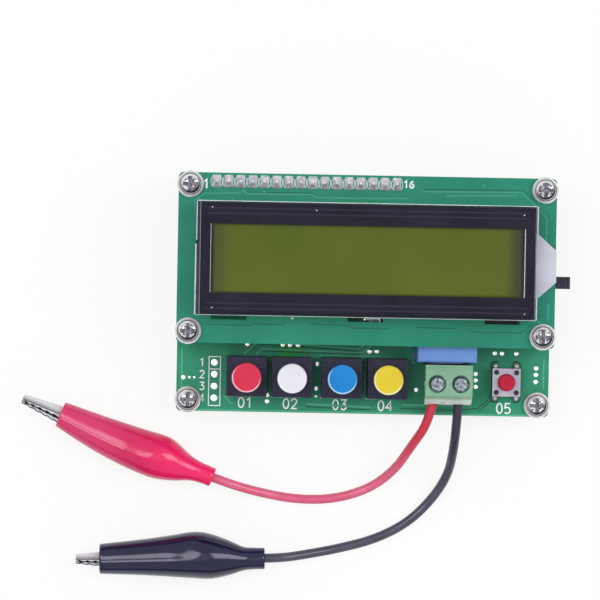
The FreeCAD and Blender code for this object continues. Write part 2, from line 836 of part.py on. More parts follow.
def make_terminal():
    profile = [
        (terminal_back, 0),
        (terminal_back, terminal_height),
        (terminal_lip - terminal_front, terminal_height),
        (-terminal_front, terminal_lip_height),
        (-terminal_front, 0),
    ]
    left = terminal_x - terminal_length / 2
    outline = [Vector(left, terminal_screw_y + y, board_top + z) for y, z in profile]
    housing = prism(outline, Vector(terminal_length, 0, 0))
    floor = board_top + terminal_floor
    core_bottom = wire_level - core_radius
    core_top = wire_level + core_radius
    cage_floor_top = core_bottom - core_gap
    cage_bottom = cage_floor_top - cage_floor
    roof_bottom = core_top + bar_thickness + cage_travel + cage_gap
    head_bottom = roof_bottom + cage_roof + cage_gap
    cavity_middle = terminal_screw_y + (cavity_back - cavity_front) / 2
    hollows, bars = [], []
    for x in terminal_poles:
        hollows += [
            box(x, cavity_middle, floor, cavity_width, cavity_front + cavity_back, cavity_height),
            rod(x, terminal_screw_y, floor, well_radius, terminal_height),
            box(x, terminal_screw_y - terminal_front, wire_level - entry_height / 2,
                entry_width, 2 * (terminal_front - cavity_front) + bar_thickness, entry_height),
            box(x, bar_leg_y(), board_top, bar_leg_width + 2 * leg_hole_clearance,
                bar_thickness + 2 * leg_hole_clearance, terminal_floor),
        ]
        leg_bottom = board_bottom - leg_tail
        bar_back = bar_leg_y() + bar_thickness / 2
        bar = box(x, (cage_front_y + bar_back) / 2, core_top, bar_width, bar_back - cage_front_y, bar_thickness)
        leg = box(x, bar_leg_y(), leg_bottom, bar_leg_width, bar_thickness, core_top - leg_bottom)
        bars.append(joined(bar, leg))
    save("terminal_housing", drilled(housing, hollows))
    save("terminal_contacts", *bars)

    for name, x in zip(("red", "black"), terminal_poles):
        cage_top = roof_bottom + cage_roof
        cage = box(x, terminal_screw_y, cage_bottom, cage_width, cage_depth, cage_top - cage_bottom)
        window = box(x, terminal_screw_y, cage_floor_top, cage_width - 2 * cage_wall,
                     2 * cage_depth, roof_bottom - cage_floor_top)
        thread = rod(x, terminal_screw_y, roof_bottom, clamp_screw_radius + clamp_screw_clearance, cage_roof)
        save(f"{name}_terminal_cage", drilled(cage, [window, thread]))

        shank_bottom = core_top + bar_thickness + clamp_screw_end_gap
        shank = rod(x, terminal_screw_y, shank_bottom, clamp_screw_radius, head_bottom - shank_bottom)
        head = rod(x, terminal_screw_y, head_bottom, clamp_head_radius, clamp_head_height)
        slot_bottom = head_bottom + clamp_head_height - clamp_slot_depth
        slots = [
            box(x, terminal_screw_y, slot_bottom, 2 * clamp_head_radius, clamp_slot_width, clamp_head_height),
            box(x, terminal_screw_y, slot_bottom, clamp_slot_width, clamp_head_radius, clamp_head_height),
        ]
        save(f"{name}_terminal_screw", joined(head.cut(slots), shank))


# Relay


def make_relay():
    base_wire = rectangle(relay_x, relay_y, board_top, relay_length, relay_depth)
    top_level = board_top + relay_height
    top_wire = rectangle(relay_x, relay_y, top_level,
                         relay_length - 2 * relay_draft, relay_depth - 2 * relay_draft)
    case = Part.makeLoft([base_wire, top_wire], True, True)
    case = case.makeFillet(relay_edge, rim_edges(case, top_level))
    inner_length = relay_length - 2 * (relay_wall + relay_draft)
    inner_depth = relay_depth - 2 * (relay_wall + relay_draft)
    hollow = box(relay_x, relay_y, board_top, inner_length, inner_depth, relay_height - relay_wall)
    save("relay_case", case.cut(hollow))
    base = box(relay_x, relay_y, board_top, inner_length, inner_depth, relay_base_height)
    coil = Part.makeCylinder(
        relay_coil_radius,
        relay_coil_length,
        Vector(relay_x - relay_coil_length / 2, relay_y, board_top + relay_base_height + relay_coil_radius),
        Vector(1, 0, 0),
    )
    pedestal = box(relay_x, relay_y, board_top + relay_base_height,
                   relay_coil_length, relay_coil_radius, relay_coil_radius)
    save("relay_base", joined(base, pedestal, coil))


# Supply socket


def make_usb_socket():
    mouth_x = right_edge + usb_overhang
    middle_x = mouth_x - usb_depth / 2
    shell = box(middle_x, usb_y, board_top, usb_depth, usb_width, usb_height)
    bore = box(middle_x, usb_y, board_top + usb_sheet, 2 * usb_depth,
               usb_width - 2 * usb_sheet, usb_height - 2 * usb_sheet)
    save("usb_shell", shell.cut(bore))
    back_x = mouth_x - usb_depth
    block = box(back_x + usb_back_depth / 2, usb_y, board_top + usb_sheet, usb_back_depth,
                usb_width - 2 * usb_sheet, usb_height - 2 * usb_sheet)
    tongue_end = mouth_x - usb_tongue_setback
    tongue = box((back_x + tongue_end) / 2, usb_y, board_top + (usb_height - usb_tongue_height) / 2,
                 tongue_end - back_x, usb_tongue_width, usb_tongue_height)
    save("usb_tongue", joined(block, tongue))


# Parts under the display


def gull_wing_chip(x, y, length, width, height, leads):
    """A moulded chip with bent leads along its front and back."""
    body_bottom = board_top + chip_standoff
    body = box(x, y, body_bottom, length, width, height - chip_standoff)
    shoulder = board_top + height / 2
    pieces = []
    for k in range(leads):
        lead_x = x + (k - (leads - 1) / 2) * chip_lead_pitch
        for side in (-1, 1):
            edge = y + side * width / 2
            half_reach = chip_lead_reach / 2
            arm = box(lead_x, edge + side * half_reach / 2, shoulder,
                      chip_lead_width, half_reach, chip_lead_sheet)
            drop = box(lead_x, edge + side * (half_reach - chip_lead_sheet / 2), board_top,
                       chip_lead_width, chip_lead_sheet, shoulder + chip_lead_sheet - board_top)
            foot_reach = chip_lead_reach - half_reach + chip_lead_sheet
            foot_middle = edge + side * (chip_lead_reach - foot_reach / 2)
            foot = box(lead_x, foot_middle, board_top, chip_lead_width, foot_reach, chip_lead_sheet)
            pieces += [arm, drop, foot]
    return joined(body, *pieces)


def make_inner_parts():
    save("controller_chip", gull_wing_chip(chip_x, chip_y, chip_length, chip_width,
                                           chip_height, chip_lead_count))
    save("comparator_chip", gull_wing_chip(amplifier_x, amplifier_y, amplifier_length, amplifier_width,
                                           amplifier_height, amplifier_lead_count))

    can = box(crystal_x, crystal_y, board_top, crystal_length, crystal_width, crystal_height)
    can = can.makeFillet(crystal_width * 0.45, upright_edges(can))
    flange = box(crystal_x, crystal_y, board_top, crystal_length + crystal_flange,
                 crystal_width + crystal_flange, crystal_flange_sheet)
    flange = flange.makeFillet(crystal_width * 0.45, upright_edges(flange))
    save("crystal_can", joined(can, flange))

    neck = rod(coil_x, coil_y, board_top, coil_radius - coil_neck, coil_height)
    lower = rod(coil_x, coil_y, board_top, coil_radius, coil_flange_height)
    upper = rod(coil_x, coil_y, board_top + coil_height - coil_flange_height, coil_radius, coil_flange_height)
    save("tank_coil", joined(neck, lower, upper))

    can = rod(capacitor_x, capacitor_y, board_top, capacitor_radius, capacitor_height)
    can = can.makeFillet(capacitor_groove, rim_edges(can, board_top + capacitor_height))
    groove_level = board_top + 4 * capacitor_groove
    groove = Part.makeTorus(capacitor_radius, capacitor_groove, Vector(capacitor_x, capacitor_y, groove_level))
    save("filter_capacitor", can.cut(groove))


# Test leads


def route_edges(points):
    """Straight runs joined by tangent arcs, each as large as its two runs allow, and the radii."""
    edges, radii = [], []
    start = points[0]
    for before, corner, after in zip(points, points[1:], points[2:]):
        arriving, leaving = corner - before, after - corner
        turn = arriving.getAngle(leaving)
        setback = 0.45 * min(arriving.Length, leaving.Length)
        arc_start = corner - arriving.normalize() * setback
        arc_end = corner + leaving.normalize() * setback
        radius = setback / math.tan(turn / 2)
        inward = (arc_start + arc_end) * 0.5 - corner
        middle = corner + inward.normalize() * (radius / math.cos(turn / 2) - radius)
        edges.append(Part.LineSegment(start, arc_start).toShape())
        edges.append(Part.Arc(arc_start, middle, arc_end).toShape())
        radii.append(radius)
        start = arc_end
    edges.append(Part.LineSegment(start, points[-1]).toShape())
    return edges, radii


def tube(points, radius):
    """A round wire along the route through points."""
    edges, radii = route_edges(points)
    path = Part.Wire(edges)
    ring = Part.Wire(Part.makeCircle(radius, points[0], points[1] - points[0]))
    solid = path.makePipeShell([ring], True, False)
    return solid, path.Length, radii


def heading_vector(heading):
    """The level direction from the wire end of a boot to the tip of its clip."""
    return Vector(math.cos(math.radians(heading)), math.sin(math.radians(heading)), 0)


def pivot_from_boot_end(jaw_showing):
    """How far the pivot of a clip lies from the wire end of its boot."""
    return boot_length - (tip_reach - jaw_showing)


def make_lead(name, pole_x, route, boot_end, heading, jaw_showing):
    """The wire, from its bared end in the terminal to the crimp inside the boot."""
    along = heading_vector(heading)
    start = Vector(pole_x, cage_front_y - wire_end_gap, wire_level)
    lead_in = along * wire_lead_in
    points = [start] + route + [boot_end - lead_in, boot_end + lead_in]
    wire, length, radii = tube(points, wire_radius)
    expected = math.pi * wire_radius ** 2 * length
    print(f"{name} lead: length {length:.1f}, volume over section times length "
          f"{wire.Volume / expected:.4f}, radii {[round(r, 1) for r in radii]}")
    core_end = bar_leg_y() - bar_thickness / 2 - core_end_gap
    core = Part.makeCylinder(core_radius, core_end - start.y, start, Vector(0, 1, 0))
    crimp_start = pivot_from_boot_end(jaw_showing) - handle_reach - crimp_gap - crimp_wire_gap
    tail = Part.makeCylinder(wire_radius, crimp_start - wire_lead_in, points[-1], along)
    save(f"{name}_lead_wire", joined(wire, core, tail))


# Spring clips, drawn about the pivot: X to the tip, Y to the moving side, Z along the pivot


def jaw_profile(inset):
    """The side view of one jaw and its handle on the +Y side, with the back moved in by inset."""
    tip = tip_reach - inset
    end = -handle_reach + inset
    inner_edge = []
    teeth = int((tip_reach - teeth_from) / tooth_pitch)
    for k in range(teeth):
        root = tip_reach - k * tooth_pitch
        inner_edge.append(Vector(root - tooth_pitch / 2, tooth_gap + tooth_depth, 0))
        inner_edge.append(Vector(root - tooth_pitch, tooth_gap, 0))
    bottom = [Vector(tip_reach, tooth_gap, 0)] + inner_edge
    if inset:
        bottom = [Vector(tip, -jaw_back_height, 0), Vector(end, -jaw_back_height, 0)]
    handle_inner = handle_spread - handle_wall_height
    pivot_side = [
        Vector(-jaw_ear_radius, tooth_gap, 0),
        Vector(-handle_reach, handle_inner, 0),
    ]
    outside = [
        Vector(end, handle_spread - inset, 0),
        Vector(-jaw_ear_radius, jaw_back_height - inset, 0),
        Vector(jaw_taper_from, jaw_back_height - inset, 0),
        Vector(tip, jaw_tip_height - inset, 0),
    ]
    return bottom + ([] if inset else pivot_side) + outside


def jaw_plan(half_width, inset):
    """The outline seen along Y: narrow at the tip, wide at the pivot, a little narrower at the end."""
    shape = [
        (tip_reach + inset, jaw_tip_half_width),
        (jaw_taper_from, half_width),
        (-jaw_ear_radius, half_width),
        (-handle_reach - inset, min(handle_half_width, half_width)),
    ]
    upper = [Vector(x, 0, z - inset) for x, z in shape]
    lower = [Vector(x, 0, inset - z) for x, z in reversed(shape)]
    return upper + lower


def channel_jaw(half_width):
    """A jaw bent from sheet: a back, two toothed side walls, round ears and a handle."""
    deep = 2 * handle_spread
    side_sweep = Vector(0, 0, 4 * half_width)
    side_start = Vector(0, 0, -2 * half_width)
    profile = [point + side_start for point in jaw_profile(0)]
    hollow = [point + side_start for point in jaw_profile(jaw_sheet)]
    outer_plan = [point - Vector(0, deep, 0) for point in jaw_plan(half_width, 0)]
    inner_plan = [point - Vector(0, deep, 0) for point in jaw_plan(half_width, jaw_sheet)]
    through = Vector(0, 2 * deep, 0)
    body = prism(profile, side_sweep).common(prism(outer_plan, through))
    body = body.cut(prism(hollow, side_sweep).common(prism(inner_plan, through)))
    ears = []
    for bottom in (-half_width, half_width - jaw_sheet):
        ears.append(Part.makeCylinder(jaw_ear_radius, jaw_sheet, Vector(0, 0, bottom)))
    pivot_hole = Part.makeCylinder(rivet_radius + rivet_clearance, 4 * half_width, side_start)
    return joined(body, *ears).cut(pivot_hole)


def crimp_barrel():
    """The wire crimp on the end of the fixed handle, with the tab that carries it, on the -Y side."""
    start = -handle_reach - crimp_gap
    barrel = Part.makeCylinder(crimp_radius, crimp_length, Vector(start, 0, 0), Vector(-1, 0, 0))
    bore = Part.makeCylinder(wire_radius + crimp_clearance, 3 * crimp_length,
                             Vector(start + crimp_length, 0, 0), Vector(-1, 0, 0))
    outline = [
        Vector(-handle_reach + crimp_gap, -handle_spread, 0),
        Vector(-handle_reach + crimp_gap, -handle_spread + jaw_sheet, 0),
        Vector(start - crimp_gap / 2, -wire_radius, 0),
        Vector(start - crimp_length + crimp_gap, -wire_radius, 0),
    ]
    half = crimp_radius / 2
    tab = prism([point - Vector(0, 0, half) for point in outline], Vector(0, 0, 2 * half))
    return barrel, tab, bore


def fixed_jaw():
    jaw = channel_jaw(jaw_half_width).mirror(Vector(0, 0, 0), Vector(0, 1, 0))
    barrel, tab, bore = crimp_barrel()
    return joined(jaw, barrel, tab).cut(bore)


def moving_jaw():
    return channel_jaw(jaw_half_width - jaw_sheet - jaw_nesting_gap)


def clip_rivet():
    half = jaw_half_width
    shaft = Part.makeCylinder(rivet_radius, 2 * half, Vector(0, 0, -half))
    heads = [
        Part.makeCylinder(rivet_head_radius, rivet_head_height, Vector(0, 0, bottom))
        for bottom in (half, -half - rivet_head_height)
    ]
    return joined(shaft, *heads)


def clip_spring():
    """The coil round the rivet, drawn as a sleeve, with a leg under each handle."""
    inner_half = jaw_half_width - 2 * jaw_sheet - jaw_nesting_gap - spring_side_gap
    sleeve = Part.makeCylinder(spring_radius, 2 * inner_half, Vector(0, 0, -inner_half))
    legs = []
    for side in (-1, 1):
        leg_end_y = handle_spread - jaw_sheet - spring_leg_radius - spring_leg_gap
        near = Vector(0, side * (spring_radius - spring_leg_radius), side * inner_half / 2)
        far = Vector(-handle_reach * 0.8, side * leg_end_y * 0.76, side * inner_half / 2)
        legs.append(Part.makeCylinder(spring_leg_radius, (far - near).Length, near, far - near))
    bore = Part.makeCylinder(spring_radius - spring_wall, 4 * inner_half, Vector(0, 0, -2 * inner_half))
    return joined(sleeve, *legs).cut(bore)


def boot_core(girth, inset, ends_at, end_radius):
    """A turned body along X under a smooth curve through the boot radii, moved in by inset."""
    steps = [
        (0, girth * boot_mouth_radius - inset),
        (boot_waist_at, girth * boot_waist_radius - inset),
        (boot_bulge_at, girth * boot_bulge_radius - inset),
        (boot_neck_at, girth * boot_neck_radius - inset),
        (ends_at, end_radius),
    ]
    curve = Part.BSplineCurve()
    curve.interpolate(
        Points=[Vector(-at, radius, 0) for at, radius in steps],
        Tangents=[Vector(-1, 0, 0) for _ in steps],
        TangentFlags=[at == boot_bulge_at for at, _ in steps],
    )
    end = Vector(-ends_at, 0, 0)
    edges = [
        curve.toShape(),
        Part.LineSegment(curve.EndPoint, end).toShape(),
        Part.LineSegment(end, Vector(0, 0, 0)).toShape(),
        Part.LineSegment(Vector(0, 0, 0), curve.StartPoint).toShape(),
    ]
    return Part.Face(Part.Wire(edges)).revolve(Vector(0, 0, 0), Vector(1, 0, 0), 360)


def clip_boot(jaw_showing, girth):
    """The soft sleeve over the clip, open at the mouth, snug round the wire at the other end."""
    outside = boot_core(girth, 0, boot_length, girth * boot_end_radius)
    inside = boot_core(girth, boot_wall, boot_length - boot_collar, wire_radius + boot_wire_clearance)
    bore = Part.makeCylinder(wire_radius + boot_wire_clearance, boot_length,
                             Vector(-boot_length, 0, 0), Vector(1, 0, 0))
    boot = drilled(outside, [inside, bore])
    boot.translate(Vector(tip_reach - jaw_showing, 0, 0))
    return boot


def clip_placement(boot_end, heading, jaw_showing):
    """Where the pivot of a clip lies and how the clip is turned, from the wire end of its boot."""
    roll = math.radians(clip_roll)
    along = heading_vector(heading)
    across = Vector(along.y, -along.x, 0)
    opening = across * math.cos(roll) + UP * math.sin(roll)
    turn = FreeCAD.Rotation(along, opening, along.cross(opening), "XYZ")
    return FreeCAD.Placement(boot_end + along * pivot_from_boot_end(jaw_showing), turn)


def make_clip(name, boot_end, heading, jaw_showing, girth):
    placement = clip_placement(boot_end, heading, jaw_showing)
    pieces = {
        "clip_fixed_jaw": fixed_jaw(),
        "clip_moving_jaw": moving_jaw(),
        "clip_spring": clip_spring(),
        "clip_boot": clip_boot(jaw_showing, girth),
    }
    for piece, shape in pieces.items():
        save(f"{name}_{piece}", shape.transformed(placement.toMatrix()))
    return clip_rivet().transformed(placement.toMatrix())


def make_leads():
    red = (red_boot_end, red_heading, red_jaw_showing)
    black = (black_boot_end, black_heading, black_jaw_showing)
    make_lead("red", terminal_poles[0], red_route, *red)
    make_lead("black", terminal_poles[1], black_route, *black)
    red_rivet = make_clip("red", *red, red_boot_girth)
    black_rivet = make_clip("black", *black, black_boot_girth)
    save("clip_rivets", red_rivet, black_rivet)


def main():
    os.makedirs("parts", exist_ok=True)
    make_main_board()
    make_soldered_legs()
    make_lcd_board()
    make_lcd_bezel()
    make_lcd_glass()
    make_lcd_backlight()
    make_lcd_zebra_strips()
    make_lcd_driver_blobs()
    make_display_header()
    make_fasteners()
    make_push_switches()
    make_func_switch()
    make_power_switch()
    make_terminal()
    make_relay()
    make_usb_socket()
    make_inner_parts()
    make_leads()


main()
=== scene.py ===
import bmesh
import bpy
import math
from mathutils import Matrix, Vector


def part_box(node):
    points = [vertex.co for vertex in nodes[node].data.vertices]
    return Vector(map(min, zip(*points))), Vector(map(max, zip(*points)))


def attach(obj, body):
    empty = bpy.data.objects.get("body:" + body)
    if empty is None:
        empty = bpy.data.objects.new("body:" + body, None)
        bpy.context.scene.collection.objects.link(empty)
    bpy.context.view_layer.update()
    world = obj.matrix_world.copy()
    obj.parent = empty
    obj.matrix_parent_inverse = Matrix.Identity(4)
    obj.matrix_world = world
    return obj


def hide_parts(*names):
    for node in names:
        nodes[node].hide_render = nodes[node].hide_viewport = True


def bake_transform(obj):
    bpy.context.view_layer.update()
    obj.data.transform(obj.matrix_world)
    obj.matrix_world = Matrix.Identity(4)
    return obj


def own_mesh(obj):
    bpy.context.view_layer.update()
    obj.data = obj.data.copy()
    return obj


# Looks of the component tester. Its pieces are drawn in millimetres and made in metres.
# The camera, the floor, the lamps and the lengths of the leads are given in metres.

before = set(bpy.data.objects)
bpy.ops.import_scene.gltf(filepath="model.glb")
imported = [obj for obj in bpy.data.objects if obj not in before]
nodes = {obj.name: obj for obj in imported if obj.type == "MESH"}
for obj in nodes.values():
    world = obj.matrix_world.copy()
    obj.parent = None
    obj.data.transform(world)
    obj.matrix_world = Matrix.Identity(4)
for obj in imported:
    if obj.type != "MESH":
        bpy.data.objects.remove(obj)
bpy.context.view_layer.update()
scene = bpy.context.scene
MM = 0.001


# Reading the frame


def box(node):
    """The lowest and highest corner of a node in millimetres."""
    low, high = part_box(node)
    return low / MM, high / MM


def centre(low, high):
    """The middle of a box, seen from above."""
    return (low.x + high.x) / 2, (low.y + high.y) / 2


def islands(node):
    """The separate solids of a node, each as its lowest and highest corner in millimetres."""
    shell = bmesh.new()
    shell.from_mesh(nodes[node].data)
    bmesh.ops.remove_doubles(shell, verts=shell.verts, dist=1e-7)
    seen, found = set(), []
    for start in shell.verts:
        if start in seen:
            continue
        group, queue = [], [start]
        seen.add(start)
        while queue:
            vertex = queue.pop()
            group.append(vertex.co.copy())
            for edge in vertex.link_edges:
                other = edge.other_vert(vertex)
                if other not in seen:
                    seen.add(other)
                    queue.append(other)
        low = Vector([min(point[k] for point in group) for k in range(3)]) / MM
        high = Vector([max(point[k] for point in group) for k in range(3)]) / MM
        found.append((low, high))
    shell.free()
    return sorted(found, key=lambda corners: tuple(corners[0]))


def middles(node):
    """Where the separate solids of a node stand, seen from above, and how high they reach."""
    return [(*centre(low, high), high.z) for low, high in islands(node)]


CAPS = ("red", "white", "blue", "yellow")
SWITCHES = [centre(*box(f"{colour}_cap")) for colour in CAPS]
FUNC_MIDDLE = (30.7, -18.1)
BOARD_BOTTOM, BOARD_TOP = (corner.z for corner in box("main_board"))
LCD_TOP = box("lcd_board")[1].z
BEZEL_LOW, BEZEL_HIGH = box("lcd_bezel")
LCD_MIDDLE_Y = centre(BEZEL_LOW, BEZEL_HIGH)[1]
PIN_PITCH = 2.54
SIDES = (-1, 1)
UP = Vector((0, 0, 1))
UPRIGHT = (Vector((1, 0, 0)), Vector((0, 1, 0)), UP)


# Camera, floor and light


FLOOR_GLOW = 0.82
FLOOR_REACH = 3.0
FLOOR_TONES = [(0.0, (0.955, 0.955, 0.96, 1)), (1.0, (0.965, 0.965, 0.965, 1))]
ROOM_LEVELS = [(0.0, 0.5), (0.04, 0.1), (0.2, 0.1), (0.32, 0.66), (0.94, 0.62), (0.975, 1.05), (1.0, 1.05)]
LAMP_AIM = Vector((0, -0.01, 0))


def fill_ramp(ramp, steps):
    """Gives a colour ramp its steps, each a place and a colour."""
    elements = ramp.color_ramp.elements
    while len(elements) < len(steps):
        elements.new(0.5)
    for element, (place, colour) in zip(elements, steps):
        element.position = place
        element.color = colour


def make_camera():
    """A long lens above the tester, about a degree off straight down and turned by about a degree."""
    data = bpy.data.cameras.new("camera")
    data.lens = 221.0
    data.sensor_width = 36.0
    data.clip_end = 10.0
    camera = bpy.data.objects.new("camera", data)
    scene.collection.objects.link(camera)
    camera.rotation_mode = "ZYX"
    camera.rotation_euler = (-0.01491, -0.01317, 0.01863)
    camera.location = (-0.0242, 0.0105, 0.8006)
    scene.camera = camera


def make_world():
    """A pale room with a dark band low on its walls and a bright ceiling, for metal to reflect."""
    world = bpy.data.worlds.new("studio")
    scene.world = world
    world.use_nodes = True
    tree = world.node_tree
    coordinates = tree.nodes.new("ShaderNodeTexCoord")
    split = tree.nodes.new("ShaderNodeSeparateXYZ")
    ramp = tree.nodes.new("ShaderNodeValToRGB")
    tree.links.new(coordinates.outputs["Generated"], split.inputs[0])
    tree.links.new(split.outputs["Z"], ramp.inputs[0])
    fill_ramp(ramp, [(place, (level, level, level, 1)) for place, level in ROOM_LEVELS])
    background = tree.nodes["Background"]
    tree.links.new(ramp.outputs[0], background.inputs["Color"])
    background.inputs["Strength"].default_value = 1.0


def make_softbox(name, place, size, power):
    """A flat lamp that shines at the tester."""
    data = bpy.data.lights.new(name, "AREA")
    data.shape = "RECTANGLE"
    data.size = size[0]
    data.size_y = size[1]
    data.energy = power
    lamp = bpy.data.objects.new(name, data)
    scene.collection.objects.link(lamp)
    lamp.location = place
    lamp.rotation_euler = (LAMP_AIM - Vector(place)).to_track_quat("-Z", "Y").to_euler()


def make_floor():
    """Pale paper that shows nearly white, also in metal and glass, and keeps a soft shadow."""
    mesh = bpy.data.meshes.new("floor")
    far = FLOOR_REACH
    mesh.from_pydata([(-far, -far, 0), (far, -far, 0), (far, far, 0), (-far, far, 0)], [], [(0, 1, 2, 3)])
    floor = bpy.data.objects.new("floor", mesh)
    scene.collection.objects.link(floor)
    material = bpy.data.materials.new("floor_paper")
    material.use_nodes = True
    tree = material.node_tree
    shader = tree.nodes["Principled BSDF"]
    shader.inputs["Roughness"].default_value = 0.9
    shader.inputs["Specular IOR Level"].default_value = 0.1
    noise = tree.nodes.new("ShaderNodeTexNoise")
    noise.inputs["Scale"].default_value = 4.0
    ramp = tree.nodes.new("ShaderNodeValToRGB")
    fill_ramp(ramp, FLOOR_TONES)
    tree.links.new(noise.outputs["Fac"], ramp.inputs[0])
    tree.links.new(ramp.outputs[0], shader.inputs["Base Color"])
    paths = tree.nodes.new("ShaderNodeLightPath")
    seen = paths.outputs["Is Camera Ray"]
    for kind in ("Is Glossy Ray", "Is Transmission Ray"):
        either = tree.nodes.new("ShaderNodeMath")
        either.operation = "MAXIMUM"
        tree.links.new(seen, either.inputs[0])
        tree.links.new(paths.outputs[kind], either.inputs[1])
        seen = either.outputs[0]
    share = tree.nodes.new("ShaderNodeMath")
    share.operation = "MULTIPLY"
    share.inputs[1].default_value = FLOOR_GLOW
    tree.links.new(seen, share.inputs[0])
    glow = tree.nodes.new("ShaderNodeEmission")
    blend = tree.nodes.new("ShaderNodeMixShader")
    tree.links.new(share.outputs[0], blend.inputs["Fac"])
    tree.links.new(shader.outputs[0], blend.inputs[1])
    tree.links.new(glow.outputs[0], blend.inputs[2])
    tree.links.new(blend.outputs[0], tree.nodes["Material Output"].inputs["Surface"])
    mesh.materials.append(material)


# Test leads, as their routes and boots lie on the bench


# A boot's upper, lower and depth are its reach to either side and up, by the distance from its mouth.
LEADS = {
    "red": {
        "pole": 15.58,
        "boot_end": Vector((-31.85, -40.1, 4.738)),
        "heading": 158.4,
        "jaw_showing": 8.8,
        "seam": True,
        "route": [(14.18, -26.9, 13.524), (10.8, -32.2, 9.522), (7.6, -37.6, 4.554), (2.4, -42.0, 1.6),
                  (-5.1, -44.5, 1.1), (-13.3, -44.8, 1.2), (-21.3, -43.4, 2.2)],
        "length": 0.068,
        "upper": [(0, 2.8), (9.7, 3.35), (18, 4.0), (23.4, 4.5), (25.5, 4.1), (29.5, 2.6), (32, 2.15),
                  (35.6, 2.05)],
        "lower": [(0, 2.8), (4, 3.6), (9.7, 4.55), (15, 5.1), (19.5, 5.3), (23.8, 5.1), (28, 3.9), (31, 2.6),
                  (33, 2.2), (35.6, 2.05)],
        "depth": [(0, 2.85), (9.7, 3.55), (17, 4.35), (21.5, 4.72), (25, 4.35), (29, 3.05), (31.8, 2.3),
                  (35.6, 2.0)],
    },
    "black": {
        "pole": 20.58,
        "boot_end": Vector((-20.3, -57.35, 5.15)),
        "heading": 181.2,
        "jaw_showing": 5.2,
        "seam": False,
        "route": [(20.18, -26.9, 13.524), (19.9, -32.6, 9.384), (19.1, -38.5, 4.278), (15.8, -44.2, 1.5),
                  (10.5, -49.5, 1.1), (3.6, -53.1, 1.1), (-4.2, -55.2, 1.6), (-12.0, -56.6, 3.4)],
        "length": 0.071,
        "upper": [(0, 3.24), (9.7, 4.3), (16, 5.2), (19.9, 5.8), (23, 5.6), (27.5, 4.1), (31, 2.55),
                  (33, 2.35), (35.6, 2.3)],
        "lower": [(0, 3.24), (9.7, 3.6), (20, 4.25), (24, 4.4), (28, 3.6), (31, 2.65), (33, 2.4),
                  (35.6, 2.35)],
        "depth": [(0, 3.2), (9.7, 3.95), (17, 4.8), (21.5, 5.13), (25, 4.7), (29, 3.4), (31.8, 2.6),
                  (35.6, 2.25)],
    },
}
BOOT_LENGTH = 35.6
JAW_REACH = 14.0
JAW_TAPER_FROM = 2.0
JAW_BACK = 1.6
JAW_BACK_SLOPE = 0.8 / 12.0
JAW_SIDES = {"fixed": (1.8, 1.15 / 12.0), "moving": (1.3, 0.65 / 12.0)}
TOOTH_PITCH = 1.7
WIRE_RADIUS = 1.0
WIRE_LEVEL = 13.8
WIRE_START_Y = -20.3
WIRE_INTO_BOOT = 3.0


def directions(lead):
    """The level directions along a clip, towards its jaws, and across it."""
    turn = math.radians(lead["heading"])
    along = Vector((math.cos(turn), math.sin(turn), 0))
    return along, Vector((along.y, -along.x, 0))


def boot_mouth(lead):
    """The middle of the open end of a boot."""
    return lead["boot_end"] + directions(lead)[0] * BOOT_LENGTH


def jaw_hinge(lead):
    """Where the jaws of a clip hinge, and which way they part."""
    along, across = directions(lead)
    pivot = lead["boot_end"] + along * (BOOT_LENGTH - (JAW_REACH - lead["jaw_showing"]))
    return pivot, (across + UP).normalized()


# Materials


NOISE_LOW = 0.3
NOISE_HIGH = 0.7
GRAIN_HEIGHT = 0.2
SHORT_NAMES = {"gloss": "Specular IOR Level", "metal": "Metallic"}
PAINTED_GLOW_SPOT = (-15.5, -12.3)
BEZEL_LINES = (9.4, 10.5)
BEZEL_DIMPLE_GLINTS = ((-32.7, 18.15), (-10.9, 17.8), (32.6, 17.6), (-32.5, -2.9), (33.0, -3.1))
ZEBRA_WAVES = 12000.0
CAP_TONES = (("d42f4e", "dc3957", "f4b9c3"), ("dfdfe8", "e8e8f0", "f6f6fa"), ("1a7fca", "2288d2", "a9d8f5"),
             ("dfc635", "e7cf3f", "f8f0b8"))
WIRE_TONES = {"red": ("dc5a7b", "e66c8b", "cf3148"), "black": ("464455", "535162", "343241")}
finishes = {}


def linear(code):
    """A hex colour as the linear values that shaders use."""
    parts = [int(code[k:k + 2], 16) / 255 for k in (0, 2, 4)]
    return [c / 12.92 if c <= 0.04045 else ((c + 0.055) / 1.055) ** 2.4 for c in parts] + [1.0]


class Value:
    """A number that changes over a surface. Sums with it become nodes of its material."""

    def __init__(self, finish, socket):
        self.finish = finish
        self.socket = socket

    def __add__(self, other):
        return self.finish.math("ADD", self, other)

    def __sub__(self, other):
        return self.finish.math("SUBTRACT", self, other)

    def __rsub__(self, other):
        return self.finish.math("SUBTRACT", other, self)

    def __mul__(self, other):
        return self.finish.math("MULTIPLY", self, other)

    def __abs__(self):
        return self.finish.math("ABSOLUTE", self)


